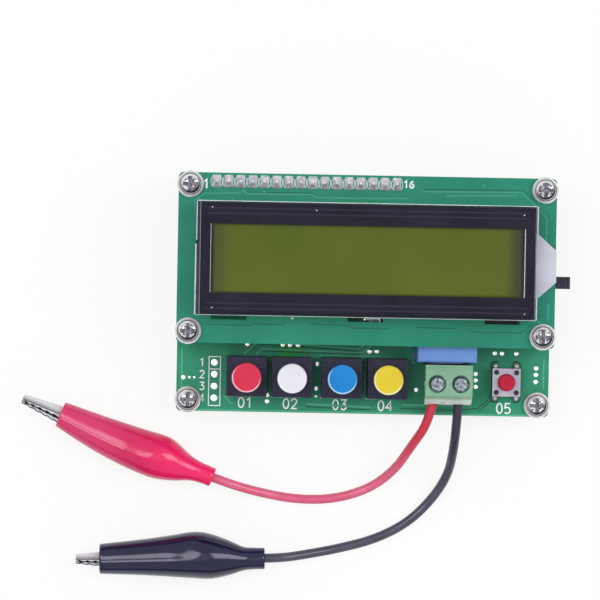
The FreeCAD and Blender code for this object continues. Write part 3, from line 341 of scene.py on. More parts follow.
class Finish:
    """A material: patches of two tones, a range of roughness, and a fine grain, all from noise."""

    def __init__(self, name, dark, light, rough, patch=300, grain=2500, bump=0.08, stretch=(1, 1, 1),
                 **sockets):
        self.material = bpy.data.materials.new(name)
        self.material.use_nodes = True
        self.tree = self.material.node_tree
        self.shader = self.tree.nodes["Principled BSDF"]
        for socket, number in sockets.items():
            self.shader.inputs[SHORT_NAMES.get(socket, socket.replace("_", " "))].default_value = number
        self.place = self.node("ShaderNodeTexCoord").outputs["Object"]
        mapping = self.node("ShaderNodeMapping")
        mapping.inputs["Scale"].default_value = stretch
        self.link(self.place, mapping.inputs["Vector"])
        self.stretched = mapping.outputs[0]
        tones = self.node("ShaderNodeValToRGB")
        fill_ramp(tones, [(NOISE_LOW, linear(dark)), (NOISE_HIGH, linear(light))])
        self.feed(self.noise(patch, 4), tones.inputs[0])
        self.colour = tones.outputs[0]
        self.link(self.colour, self.shader.inputs["Base Color"])
        roughness = self.mask(self.noise(patch * 2.3, 3), NOISE_LOW, NOISE_HIGH, *rough, kind="LINEAR")
        self.feed(roughness, self.shader.inputs["Roughness"])
        relief = self.node("ShaderNodeBump")
        relief.inputs["Strength"].default_value = bump
        relief.inputs["Distance"].default_value = GRAIN_HEIGHT * MM
        self.feed(self.noise(grain, 3), relief.inputs["Height"])
        self.link(relief.outputs[0], self.shader.inputs["Normal"])

    def node(self, kind):
        return self.tree.nodes.new(kind)

    def link(self, source, target):
        self.tree.links.new(source, target)

    def feed(self, value, socket):
        """Links a value to a socket, or sets a plain number on it."""
        if isinstance(value, Value):
            self.link(value.socket, socket)
        else:
            socket.default_value = value

    def noise(self, scale, detail):
        node = self.node("ShaderNodeTexNoise")
        node.inputs["Scale"].default_value = scale
        node.inputs["Detail"].default_value = detail
        self.link(self.stretched, node.inputs["Vector"])
        return Value(self, node.outputs["Fac"])

    def math(self, operation, first, second=0.0, clamp=False):
        node = self.node("ShaderNodeMath")
        node.operation = operation
        node.use_clamp = clamp
        for socket, value in zip(node.inputs, (first, second)):
            self.feed(value, socket)
        return Value(self, node.outputs[0])

    def mask(self, value, low, high, before=0.0, after=1.0, kind="SMOOTHSTEP"):
        """One number where the value is below low, another where it is above high."""
        node = self.node("ShaderNodeMapRange")
        node.interpolation_type = kind
        for socket, number in zip(("From Min", "From Max", "To Min", "To Max"), (low, high, before, after)):
            node.inputs[socket].default_value = number
        self.feed(value, node.inputs["Value"])
        return Value(self, node.outputs[0])

    def beyond(self, distance, low, high):
        """0 up to low millimetres, 1 from high on."""
        return self.mask(distance, low * MM, high * MM)

    def within(self, distance, low, high):
        """1 up to low millimetres, 0 from high on."""
        return self.mask(distance, low * MM, high * MM, 1.0, 0.0)

    def axis(self, name):
        """How far a point lies along X, Y or Z."""
        split = self.node("ShaderNodeSeparateXYZ")
        self.link(self.place, split.inputs[0])
        return Value(self, split.outputs[name])

    def along(self, direction):
        """How far a point lies in a direction."""
        node = self.node("ShaderNodeVectorMath")
        node.operation = "DOT_PRODUCT"
        self.link(self.place, node.inputs[0])
        node.inputs[1].default_value = direction
        return Value(self, node.outputs["Value"])

    def near(self, x, y, inner, outer):
        """1 within inner millimetres of a point seen from above, 0 beyond outer."""
        across = self.axis("X") - x * MM
        along = self.axis("Y") - y * MM
        return self.within(self.math("SQRT", across * across + along * along), inner, outer)

    def upright(self):
        """1 on upright faces, 0 on level ones."""
        split = self.node("ShaderNodeSeparateXYZ")
        self.link(self.node("ShaderNodeNewGeometry").outputs["True Normal"], split.inputs[0])
        return self.math("SUBTRACT", 1.0, abs(Value(self, split.outputs["Z"])), clamp=True)

    def paint(self, mask, code):
        """Lays one colour over the rest where the mask is 1."""
        mix = self.node("ShaderNodeMix")
        mix.data_type = "RGBA"
        self.feed(mask, mix.inputs["Factor"])
        self.link(self.colour, mix.inputs["A"])
        mix.inputs["B"].default_value = linear(code)
        self.colour = mix.outputs["Result"]
        self.link(self.colour, self.shader.inputs["Base Color"])


def add(name, *tones, **options):
    """Makes a finish and keeps it under its name."""
    finishes[name] = Finish(name, *tones, **options)
    return finishes[name]


def finish_boards():
    """Lacquered boards with pale cut edges and a painted glow of light round one spot, their tracks, white
    print and tinned holes.
    """
    board = add("main_board_laminate", "288a66", "339979", (0.3, 0.42), patch=120, grain=1800, bump=0.06,
                gloss=0.2)
    top_face = board.beyond(board.axis("Z"), BOARD_TOP - 0.2, BOARD_TOP - 0.1)
    # Painted light: a brighter green glow round one spot of the top face.
    board.paint(board.near(*PAINTED_GLOW_SPOT, 0.6, 4.5) * top_face, "1fa04c")
    board.paint(board.upright(), "8fae7c")
    display = add("lcd_board_laminate", "1f8469", "278f76", (0.3, 0.42), patch=110, grain=1600, bump=0.06,
                  gloss=0.2)
    display.paint(display.upright(), "9dbd93")
    add("trace_main", "4aab85", "56b792", (0.3, 0.4), gloss=0.3)
    add("trace_dark", "10503a", "165e44", (0.35, 0.45), gloss=0.2)
    add("trace_lcd", "33987e", "3da289", (0.3, 0.4), gloss=0.3)
    add("trace_lcd_dark", "1a6852", "1f715a", (0.35, 0.45), gloss=0.2)
    add("silkscreen", "f6faf8", "ffffff", (0.5, 0.65), patch=900, gloss=0.3)
    add("via_tin", "f6f7f8", "ffffff", (0.18, 0.28), patch=1500, bump=0.02, metal=0.85)


def finish_bezel():
    """Black paint with painted sheen as two paler lines along each side, lighter navy ends with a pale top
    edge that is partly wear and partly painted highlight, and a few bright dots painted as glints on dimples.
    """
    bezel = add("bezel_paint", "1f1d2a", "282634", (0.38, 0.5), patch=150, grain=3500, bump=0.1, gloss=0.08)
    reach = abs(bezel.axis("X"))
    rise = abs(bezel.axis("Y") - LCD_MIDDLE_Y * MM)
    walls = bezel.mask(bezel.upright(), 0.5, 0.8)
    # Painted sheen: paler lines along each side where two shallow embossed grooves catch the light.
    for line in BEZEL_LINES:
        stripe = bezel.within(abs(rise - line * MM), 0.08, 0.18)
        bezel.paint(stripe * bezel.within(reach, 33.5, 34.0), "34313f")
    bezel.paint(bezel.beyond(reach, 35.1, 35.2) * walls, "34344a")
    # The ends are a lighter navy; the pale line along their top edge is partly worn bare metal and partly a
    # painted highlight.
    wear_and_highlight = bezel.beyond(reach, 35.05, 35.1) - bezel.beyond(reach, 35.14, 35.3)
    bezel.paint(wear_and_highlight * walls, "a2a2b6")
    # Painted glints: small bright dots where dimples in the frame catch the light.
    for x, y in BEZEL_DIMPLE_GLINTS:
        bezel.paint(bezel.near(x, y, 0.08, 0.2), "c8cad2")
    add("cut_steel", "d5d9e0", "f4f6fa", (0.25, 0.4), patch=700, grain=4000, bump=0.12, stretch=(0.2, 1, 1),
        metal=0.3)


def finish_display():
    """Green glass with painted shade towards its edges under the frame, and what lies behind it."""
    glass = add("lcd_glass", "515f24", "636927", (0.16, 0.22), patch=40, grain=900, bump=0.01, gloss=0.08)
    reach = abs(glass.axis("X"))
    rise = abs(glass.axis("Y") - LCD_MIDDLE_Y * MM)
    right = glass.beyond(glass.axis("X"), -10.0, 10.0)
    # Painted shade: the glass darkens towards the ends of its window, more so on the right and most under the
    # frame, and along its top and bottom edges.
    glass.paint(glass.beyond(reach, 28.5, 31.6) * (right * 0.35 + 0.5), "3f4136")
    glass.paint(glass.beyond(reach, 31.8, 32.8), "26271f")
    glass.paint(glass.beyond(rise, 6.6, 7.4), "3a4020")
    add("light_guide", "c4c5d4", "d6d7e2", (0.35, 0.5), patch=200, gloss=0.4, Subsurface_Weight=0.15,
        Subsurface_Radius=(0.001, 0.001, 0.001))
    zebra = add("zebra_rubber", "b8a9ae", "c8babd", (0.6, 0.75), patch=500)
    zebra.paint(zebra.mask(zebra.math("SINE", zebra.axis("X") * ZEBRA_WAVES), 0.2, 0.5), "3a3236")
    add("epoxy", "0b0b0d", "141416", (0.18, 0.3), patch=200, grain=500, bump=0.12)


def finish_header():
    """Lumpy bright solder with painted shade at the foot of the tall fillets, and the black strips of the
    header with painted shade in the notches between pin places.
    """
    for name in ("leg_solder", "solder"):
        add(name, "b2afbe", "f6f5fa", (0.24, 0.42), patch=1100, grain=1500, bump=0.3, metal=0.4)
    legs = finishes["leg_solder"]
    # Painted shade: the foot of each tall fillet is darkened.
    legs.paint(legs.within(legs.axis("Z"), BOARD_TOP + 0.25, BOARD_TOP + 0.7) * 0.8, "1f4a3c")
    add("header_strip", "1d1d22", "28282e", (0.4, 0.55), patch=400, grain=3000, bump=0.15, gloss=0.35)
    strip = add("header_black", "101013", "1b1b20", (0.45, 0.6), patch=400, grain=3000, bump=0.15, gloss=0.3)
    # Painted shade: near-black lines in the notches between pin places.
    notch_shade = 1.0 - abs(strip.math("SINE", strip.axis("X") * (math.pi / (PIN_PITCH * MM))))
    strip.paint(strip.mask(notch_shade, 0.93, 0.98), "020203")


def finish_screws():
    """Nickel heads with painted shade in the recess and painted reflections: dark blotches, a dark crescent
    round the recess and a dark ring; brass standoffs.
    """
    screws = add("screw_nickel", "dcdde2", "fafafc", (0.1, 0.2), patch=500, grain=2500, bump=0.03, metal=0.35)
    reflection_blotches = screws.mask(screws.noise(1500, 2), 0.5, 0.57)
    for x, y, top in middles("lcd_screws") + middles("board_screws"):
        sunk = screws.within(screws.axis("Z"), top - 0.75, top - 0.45)
        # Painted shade darkens the recess, and painted reflections lay dark blotches on the head, a dark
        # crescent round the recess and a dark ring near its edge.
        screws.paint(screws.near(x, y, 1.6, 1.72) * sunk, "8f8a97")
        screws.paint(screws.near(x, y, 1.45, 1.75) * reflection_blotches, "625d69")
        screws.paint(screws.near(x, y, 1.92, 2.06) - screws.near(x - 0.12, y + 0.32, 1.72, 1.9), "2c2933")
        screws.paint(screws.near(x, y, 2.24, 2.34) - screws.near(x, y, 2.06, 2.14), "5a5660")
    add("standoff_brass", "cfae5f", "d9ba6e", (0.24, 0.34), patch=90, grain=3500, bump=0.04,
        stretch=(1, 1, 4), metal=1.0)


def finish_switches():
    """Plastics and steel of the switches, and caps whose rims catch the light at the front left."""
    add("switch_black", "2a283c", "34324a", (0.42, 0.55), patch=250, grain=3000, bump=0.15, gloss=0.2)
    add("plunger_white", "d5d5d2", "e4e4e0", (0.4, 0.5), patch=300, grain=3000, bump=0.06)
    for colour, (x, y), (dark, light, pale) in zip(CAPS, SWITCHES, CAP_TONES):
        add(f"cap_{colour}", dark, light, (0.36, 0.48), patch=180, grain=3200, bump=0.05, gloss=0.12)
        rim = add(f"cap_rim_{colour}", dark, light, (0.3, 0.4), patch=180, grain=3200, bump=0.05)
        front = (x * MM - rim.axis("X")) * 0.5 + (y * MM - rim.axis("Y"))
        rim.paint(rim.beyond(front, -2.0, 1.5), pale)
    add("tact_cover", "a79eb1", "bab2c2", (0.28, 0.42), patch=400, grain=2600, bump=0.1, stretch=(1, 0.25, 1),
        metal=0.35)
    add("tact_base", "232130", "2e2b3c", (0.45, 0.6), patch=300, grain=2800, bump=0.12, gloss=0.25)
    add("tact_button", "b81c38", "c42743", (0.4, 0.5), patch=250, grain=2800, bump=0.08, gloss=0.12)
    add("switch_steel", "9fa3aa", "c6c9ce", (0.28, 0.42), patch=400, grain=2600, bump=0.1, metal=1.0)
    add("lever_grey", "343243", "424053", (0.4, 0.55), patch=300, grain=2600, bump=0.12, gloss=0.3)
    add("spring_steel", "a9abb0", "c9cbd0", (0.2, 0.34), patch=800, metal=1.0)


def finish_terminal():
    """Green plastic with a painted highlight on its front ledge and painted shade round its wells, and the
    steel of its clamps.
    """
    terminal = add("terminal_green", "7aa98b", "88b698", (0.3, 0.42), patch=180, grain=2400, bump=0.06,
                   gloss=0.35, Subsurface_Weight=0.12, Subsurface_Radius=(0.0006, 0.001, 0.0006))
    front = box("terminal_housing")[0].y
    ledge = terminal.within(terminal.axis("Y"), front + 0.9, front + 1.6)
    highlight_patches = terminal.mask(terminal.noise(420, 3), 0.3, 0.45)
    level = terminal.mask(terminal.upright(), 0.8, 0.97, 1.0, 0.0)
    # Painted highlight: pale patches on the level and slanted faces of the front ledge.
    terminal.paint(level * ledge * highlight_patches, "d6e4da")
    add("clamp_steel", "7f8890", "b9c1c6", (0.25, 0.45), patch=1200, grain=2600, bump=0.25, metal=1.0)
    heads = add("clamp_screw", "303c44", "c3d0d8", (0.25, 0.45), patch=2200, grain=2600, bump=0.25, metal=0.6)
    for x, y, _ in middles("red_terminal_screw") + middles("black_terminal_screw"):
        # Painted shade: each clamp screw head is darkened except for an off-centre spot, and the rim of its
        # well is darkened.
        heads.paint(heads.near(x, y, 2.6, 3.0) - heads.near(x + 0.12, y - 0.12, 1.2, 1.5), "143428")
        terminal.paint(terminal.near(x, y, 1.84, 1.98), "2c5542")
    add("contact_tin", "b4b2b0", "d2d0cd", (0.25, 0.4), patch=600, grain=2600, bump=0.1, metal=1.0)


def finish_inner_parts():
    """The relay and the parts between the boards."""
    add("relay_blue", "6087cc", "6e96da", (0.34, 0.46), patch=150, grain=2400, bump=0.07, gloss=0.3)
    add("relay_inside", "a0522d", "b8653a", (0.3, 0.4), patch=900, grain=4000, bump=0.2)
    add("relay_line", "3a4a80", "46588f", (0.35, 0.45), patch=250)
    add("chip_black", "121214", "1d1d20", (0.5, 0.65), patch=500, grain=4500, bump=0.2, gloss=0.3)
    add("mark_grey", "8c8c8c", "a5a5a5", (0.5, 0.6), patch=500)
    add("crystal_steel", "b7babf", "d9dbdf", (0.15, 0.3), patch=500, grain=3000, bump=0.06, metal=1.0)
    add("coil_sleeve", "17171a", "222226", (0.35, 0.5), patch=250, grain=900, bump=0.15)
    add("coil_copper", "a8562c", "c87442", (0.2, 0.32), patch=900, grain=3000, bump=0.1, metal=1.0)
    add("capacitor_blue", "1f2c4e", "293a63", (0.25, 0.38), patch=220, grain=900, bump=0.06)
    add("gold", "c79a3c", "dfb85a", (0.2, 0.3), patch=900, metal=1.0)


def paint_jaw_shade(jaw, lead, part):
    """Painted shade on a jaw: a dark hollow and mouth, a grey band and a dark fold line under the back of the
    moving jaw, a dark wavy line along the teeth of the fixed one.
    """
    along, _ = directions(lead)
    pivot, opening = jaw_hinge(lead)
    axis = along.cross(opening)
    half_width, narrowing = JAW_SIDES[part]
    reach = jaw.along(along) - (pivot.dot(along) + JAW_TAPER_FROM) * MM
    rise = abs(jaw.along(opening) - pivot.dot(opening) * MM)
    below = JAW_BACK * MM - reach * JAW_BACK_SLOPE - rise
    inward = jaw.along(axis) - (pivot.dot(axis) - half_width) * MM - reach * narrowing
    # Painted shade: the inner faces of the channel and the gap where the jaws meet are dark.
    jaw.paint(jaw.beyond(inward, 0.2, 0.3) * jaw.beyond(below, 0.2, 0.3), "3a3842")
    jaw.paint(jaw.within(rise, 0.1, 0.26), "2f2d36")
    if part == "moving":
        # Painted shade: a grey band on the back towards the fold, and a dark line just under the fold.
        shade = jaw.math("SUBTRACT", 0.75, jaw.beyond(inward, 0.0, 1.3), clamp=True)
        jaw.paint(shade * jaw.within(below, 0.05, 0.1), "8f8c98")
        jaw.paint(jaw.within(abs(below - 0.22 * MM), 0.1, 0.2), "4a4752")
    else:
        # Painted shade: a dark wavy line along the teeth.
        wave = jaw.math("SINE", reach * (2 * math.pi / (TOOTH_PITCH * MM)))
        edge = below - 0.32 * MM - wave * (0.17 * MM)
        jaw.paint(jaw.within(abs(edge), 0.15, 0.24), "403d48")


def finish_leads():
    """Nickel jaws with painted shade, glossy boots with painted light on the red one, and wires with painted
    shade near the terminal.
    """
    add("jaw_nickel", "dad8e0", "f4f3f7", (0.2, 0.34), patch=450, grain=2200, bump=0.05, metal=0.35)
    for colour, lead in LEADS.items():
        for part in JAW_SIDES:
            jaw = add(f"{colour}_{part}_jaw_nickel", "e6e5eb", "f3f2f7", (0.2, 0.3), patch=300, grain=2200,
                      bump=0.02, metal=0.25)
            paint_jaw_shade(jaw, lead, part)
    red = add("red_boot_vinyl", "d81456", "e22163", (0.14, 0.22), patch=110, grain=700, bump=0.03, gloss=0.4,
              Coat_Weight=0.25, Coat_Roughness=0.08, Subsurface_Weight=0.25,
              Subsurface_Radius=(0.004, 0.001, 0.001))
    # Painted light: the red vinyl is paler and muted towards the mouth and more vivid round the swelling near
    # the back.
    red.paint(red.near(*boot_mouth(LEADS["red"]).xy, 4, 24) * 0.4, "d85486")
    red.paint(red.near(*LEADS["red"]["boot_end"].xy, 9, 17), "f42069")
    add("black_boot_vinyl", "141433", "1d1d3f", (0.12, 0.2), patch=110, grain=700, bump=0.03, gloss=0.4,
        Coat_Weight=0.45, Coat_Roughness=0.08, Specular_Tint=(0.84, 0.82, 1.0, 1.0))
    # Painted highlight: the seam strip is paler pink where its ridge catches the light.
    add("red_boot_seam", "ec7f9f", "f394af", (0.2, 0.3), patch=110, grain=700, bump=0.03)
    for colour, (dark, light, deep) in WIRE_TONES.items():
        wire = add(f"{colour}_wire_vinyl", dark, light, (0.14, 0.22), patch=250, grain=1200, bump=0.02,
                   gloss=0.5)
        # Painted shade: each wire is darker and deeper in colour near the terminal.
        wire.paint(wire.near(*centre(*box(f"{colour}_terminal_screw")), 10, 24), deep)
    add("strand_copper", "b4703f", "d39a66", (0.22, 0.34), patch=900, metal=1.0)


# Mesh pieces


FIGURES = {
    "0": [(0.3 - 0.28 * math.sin(math.pi * k / 8), 0.5 + 0.5 * math.cos(math.pi * k / 8)) for k in range(17)],
    "1": [(0.08, 0.76), (0.34, 1.0), (0.34, 0.0)],
    "2": [(0.02, 0.76), (0.1, 0.93), (0.3, 1.0), (0.5, 0.93), (0.58, 0.74), (0.5, 0.52), (0.02, 0.0),
          (0.6, 0.0)],
    "3": [(0.04, 1.0), (0.56, 1.0), (0.28, 0.6), (0.47, 0.55), (0.58, 0.38), (0.56, 0.18), (0.42, 0.03),
          (0.22, 0.0), (0.03, 0.13)],
    "4": [(0.45, 0.0), (0.45, 1.0), (0.0, 0.3), (0.62, 0.3)],
    "5": [(0.54, 1.0), (0.1, 1.0), (0.05, 0.56), (0.27, 0.63), (0.48, 0.56), (0.58, 0.36), (0.55, 0.16),
          (0.4, 0.03), (0.2, 0.0), (0.02, 0.12)],
    "6": [(0.5, 0.96), (0.25, 0.85), (0.07, 0.55), (0.02, 0.28), (0.12, 0.07), (0.3, 0.0), (0.49, 0.08),
          (0.57, 0.28), (0.49, 0.5), (0.3, 0.58), (0.1, 0.47)],
}
FIGURE_STEP = 0.82
DROP = [(1.0, 0.0), (0.97, 0.35), (0.82, 0.68), (0.55, 0.9), (0.2, 1.0)]
COIL_STEPS = 16


def angles(count):
    """Equal turns round a circle."""
    return [2 * math.pi * k / count for k in range(count)]


EIGHTHS = angles(8)


def circle(x, y, z, radius, count=24, depth=None):
    """A level ring of points, with another radius in Y where depth is given."""
    return [(x + radius * math.cos(a), y + (depth or radius) * math.sin(a), z) for a in angles(count)]


def rounded(x, y, z, length, depth, corner, count=2):
    """A level rectangle with round corners."""
    points = []
    for quarter, (i, j) in enumerate(((1, 1), (-1, 1), (-1, -1), (1, -1))):
        cx, cy = x + i * (length / 2 - corner), y + j * (depth / 2 - corner)
        for k in range(count + 1):
            turn = math.pi / 2 * (quarter + k / count)
            points.append((cx + corner * math.cos(turn), cy + corner * math.sin(turn), z))
    return points


class Shape:
    """Collects faces in millimetres and makes one piece of them."""

    def __init__(self):
        self.points, self.faces = [], []

    def loft(self, rings, ends=True):
        """A skin over rings of equally many points, closed at both ends unless told otherwise."""
        start, count = len(self.points), len(rings[0])
        for ring in rings:
            self.points += [Vector(point) for point in ring]
        for k in range(len(rings) - 1):
            low, high = start + k * count, start + (k + 1) * count
            for i in range(count):
                j = (i + 1) % count
                self.faces.append((low + i, low + j, high + j, high + i))
        if ends:
            last = start + (len(rings) - 1) * count
            self.faces.append(tuple(range(start + count - 1, start - 1, -1)))
            self.faces.append(tuple(range(last, last + count)))

    def turned(self, x, y, level, steps, count=24, ends=True):
        """A round form from steps, each a radius and a height above the level."""
        self.loft([circle(x, y, level + rise, radius, count) for radius, rise in steps], ends)

    def ribbon(self, path, width, level, thickness=0.03):
        """A flat strip along a level path, with mitred corners."""
        path = [Vector(point) for point in path]
        rings = []
        for k, point in enumerate(path):
            before = (point - path[k - 1]).normalized() if k else None
            after = (path[k + 1] - point).normalized() if k + 1 < len(path) else None
            along = ((before or after) + (after or before)).normalized()
            stretch = 1 / max(0.5, along.dot(after)) if before and after else 1.0
            side = Vector((-along.y, along.x)) * width / 2 * stretch
            left, right = point + side, point - side
            rings.append([(left.x, left.y, level), (right.x, right.y, level),
                          (right.x, right.y, level + thickness), (left.x, left.y, level + thickness)])
        self.loft(rings)

    def ribbons(self, paths, width, level, thickness=0.03):
        for path in paths:
            self.ribbon(path, width, level, thickness)

    def disc(self, x, y, level, radius, thickness=0.04):
        steps = [(radius, 0.0), (radius, thickness * 0.7), (radius * 0.86, thickness)]
        self.turned(x, y, level, steps, 20)

    def arc(self, x, y, radius, start, end, width, level, thickness=0.03, count=8):
        turns = [math.radians(start + (end - start) * k / count) for k in range(count + 1)]
        path = [(x + radius * math.cos(a), y + radius * math.sin(a)) for a in turns]
        self.ribbon(path, width, level, thickness)

    def numerals(self, text, left, bottom, height, level, width=0.3):
        """Plain upright figures, drawn with strokes."""
        for figure in text:
            path = [(left + x * height, bottom + y * height) for x, y in FIGURES[figure]]
            self.ribbon(path, width, level)
            left += height * FIGURE_STEP

    def coil(self, start, axes, reach, wire, length, turns):
        """A round wire wound about the third axis."""
        across, along, axis = axes
        steps = COIL_STEPS * turns
        rings = []
        for step in range(steps + 1):
            turn = 2 * math.pi * turns * step / steps
            out = across * math.cos(turn) + along * math.sin(turn)
            middle = start + axis * (length * step / steps)
            rings.append([middle + out * (reach + wire * math.cos(a)) + axis * (wire * math.sin(a))
                          for a in EIGHTHS])
        self.loft(rings)

    def bead(self, x, y, level, radius, height):
        """A low round drop."""
        self.turned(x, y, level, [(radius * reach, height * rise) for reach, rise in DROP])

    def mesh(self, name, smooth):
        """The mesh in metres, with edges sharper than smooth degrees kept sharp."""
        mesh = bpy.data.meshes.new(name)
        mesh.from_pydata([point * MM for point in self.points], [], self.faces)
        shell = bmesh.new()
        shell.from_mesh(mesh)
        bmesh.ops.recalc_face_normals(shell, faces=shell.faces)
        shell.to_mesh(mesh)
        shell.free()
        if smooth:
            mesh.shade_smooth()
            mesh.set_sharp_from_angle(angle=math.radians(smooth))
        return mesh

    def piece(self, name, finish, slot=None, body="tester", smooth=35):
        """The piece, riding on its body unless that is None."""
        mesh = self.mesh(name, smooth)
        mesh.materials.append(finishes[finish].material)
        piece = bpy.data.objects.new(name, mesh)
        scene.collection.objects.link(piece)
        if body:
            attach(piece, body)
        return piece


# Display board


PIN_COUNT = 16
PIN_INSET = 0.9
PIN_SIDE = 0.64
PIN_MOUND = [(1.85, 2.75, 0.2, 0.0), (1.83, 2.72, 0.2, 0.14), (1.66, 2.5, 0.26, 0.3), (1.5, 2.2, 0.4, 0.4),
             (1.05, 1.5, 0.4, 0.62), (0.8, 0.95, 0.3, 0.95), (0.6, 0.65, 0.2, 1.1)]
LCD_TRACES = [
    [(-36.6, 17.9), (-36.5, 19.5), (-34.6, 21.05), (-27.0, 21.25)],
    [(-26.5, 22.1), (-25.6, 21.15), (-11.9, 21.2), (-10.9, 20.55), (-0.6, 20.6), (8.4, 20.75)],
    [(11.4, 22.3), (32.6, 22.45), (34.4, 20.8), (37.9, 17.2), (37.9, 11.5)],
    [(16.9, 21.45), (31.2, 21.8)],
    [(38.6, -1.0), (38.6, -4.6)],
]
LCD_CLEARANCES = [
    [(22.3, -6.7), (22.6, -7.2), (33.0, -7.2), (34.8, -5.6)],
    [(12.0, 22.75), (32.8, 22.9), (34.9, 20.9)],
    [(-26.9, 22.4), (-25.9, 21.45), (-12.0, 21.5), (-11.0, 20.85)],
    [(-33.6, -6.6), (-24.4, -6.7), (-23.8, -6.3), (-17.5, -6.4), (-16.9, -6.0)],
    [(-11.8, -6.1), (-3.4, -6.3), (-2.8, -6.8), (4.6, -6.9)],
    [(10.6, -6.4), (19.4, -6.6)],
]
LCD_VIAS = ((24.5, 23.8), (16.9, 21.45), (31.25, 21.85), (-27.1, 21.3), (-21.9, 21.6), (-28.5, 19.9),
            (-9.6, 20.6), (36.6, -4.9), (-36.4, 6.0))
BEZEL_STEP_Y = 11.2
EDGE_HEIGHT = 0.22
WINDOW_END = 32.92
WINDOW_RISE = 7.2
TAB_GLINTS = (-15.5, -0.2)


def pin_places():
    """Where the header pins stand."""
    low, high = box("lcd_header_pins")
    first, last = low.x + PIN_INSET, high.x - PIN_INSET
    y = centre(low, high)[1]
    return [(first + (last - first) * k / (PIN_COUNT - 1), y) for k in range(PIN_COUNT)]


def make_display_pins():
    """Sixteen header pins, each standing in a mound of solder that leans a little."""
    low, high = box("lcd_header_pins")
    pin = [(0.4, low.z), (PIN_SIDE, low.z + 0.5), (PIN_SIDE, high.z - 0.25), (PIN_SIDE * 0.55, high.z)]
    shape = Shape()
    for k, (x, y) in enumerate(pin_places()):
        lean = 0.1 * math.sin(2.1 * k)
        shape.loft([rounded(x + lean * rise * 0.4, y + lean * rise, LCD_TOP + rise, width, length, corner, 4)
                    for width, length, corner, rise in PIN_MOUND])
        shape.loft([rounded(x, y, level, side, side, 0.06) for side, level in pin])
    piece = shape.piece("lcd_pin_solder", "solder", smooth=50)
    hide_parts("lcd_header_pins")


def make_display_marks():
    """Printed brackets beside the pins, and the numbers of the first and the last one."""
    marks = Shape()
    for x, y in pin_places():
        marks.arc(x + 0.85, y - 0.1, 2.05, 150, 210, 0.1, LCD_TOP)
        marks.arc(x - 0.85, y - 0.1, 2.05, -30, 30, 0.1, LCD_TOP)
    marks.numerals("1", -34.75, 22.15, 1.85, LCD_TOP, 0.36)
    marks.numerals("16", 7.6, 23.0, 1.45, LCD_TOP, 0.32)
    marks.piece("lcd_silkscreen", "silkscreen", "lcd_board_laminate", smooth=0)


def make_display_traces():
    """Tracks of the display board, the gaps between its fields of copper, and its small holes."""
    light = Shape()
    light.ribbons(LCD_TRACES, 0.32, LCD_TOP)
    light.piece("lcd_board_traces", "trace_lcd", "lcd_board_laminate", smooth=0)
    dark = Shape()
    dark.ribbons(LCD_CLEARANCES, 0.22, LCD_TOP, 0.02)
    dark.piece("lcd_board_clearances", "trace_lcd_dark", "lcd_board_laminate", smooth=0)
    vias = Shape()
    for x, y in LCD_VIAS:
        vias.disc(x, y, LCD_TOP, 0.24)
    vias.piece("lcd_board_vias", "trace_lcd", "lcd_board_laminate")


def make_bezel_trim():
    """Bare cut edges of the frame round its foot and at the ends of its window, and two bright beads that
    stand in for glints on the bare tab ends.
    """
    end = (BEZEL_HIGH.x - BEZEL_LOW.x) / 2
    back, front = BEZEL_HIGH.y, BEZEL_LOW.y
    edges = Shape()
    for start, stop, width in (
        ((-end, back + 0.06), (end, back + 0.06), 0.16),
        ((-end, front - 0.06), (end, front - 0.06), 0.13),
        ((end + 0.12, front), (end + 0.12, back), 0.26),
        ((-end - 0.02, BEZEL_STEP_Y), (-end - 0.02, back), 0.24),
        ((-end - 0.2, front), (-end - 0.2, BEZEL_STEP_Y - 0.8), 0.26),
    ):
        edges.ribbon([start, stop], width, LCD_TOP, EDGE_HEIGHT)
    edges.piece("bezel_cut_edges", "cut_steel", "bezel_paint", smooth=0)

    window = Shape()
    for side, width in zip(SIDES, (0.08, 0.18)):
        x = side * WINDOW_END
        ends = [(x, LCD_MIDDLE_Y - WINDOW_RISE), (x, LCD_MIDDLE_Y + WINDOW_RISE)]
        window.ribbon(ends, width, BEZEL_HIGH.z - 0.45, 0.2)
    window.piece("bezel_window_edges", "cut_steel", "bezel_paint", smooth=0)

    # Painted glints: two bright beads where light catches the bare ends of the frame's tabs.
    spots = Shape()
    for x in TAB_GLINTS:
        spots.bead(x, front - 0.42, LCD_TOP, 0.32, 0.24)
    spots.piece("bezel_tab_glints", "via_tin", "bezel_paint")


# Main board


FIGURE_HEIGHT = 2.1
SPARE_PINS = 4
SPARE_X = -31.85
SPARE_FIRST_Y = -15.05
SPARE_BOX = [(-33.05, -24.3), (-30.6, -24.3), (-30.6, -13.8), (-33.05, -13.8), (-33.05, -24.3)]
SPARE_PAD = [(0.72, 0.0), (0.72, 0.03), (0.62, 0.05), (0.47, 0.05), (0.45, 0.0)]
LARGE_VIAS = (
    (-20.39, -21.77), (-20.43, -23.18), (-9.77, -14.99), (-9.95, -20.26), (-24.89, -10.95), (-17.27, -10.95),
    (-15.76, -10.97), (-14.0, -11.0), (1.39, -12.12), (2.94, -12.09), (11.57, -20.15), (24.23, -16.52),
    (24.26, -17.89), (24.31, -19.27), (28.3, -11.97), (29.85, -11.98), (32.95, -11.99), (37.27, -15.09),
    (37.25, -16.47), (37.22, -18.0), (-38.52, -18.36),
)
SMALL_VIAS = ((-10.01, -21.92), (-37.19, -18.35), (-36.14, -18.34))
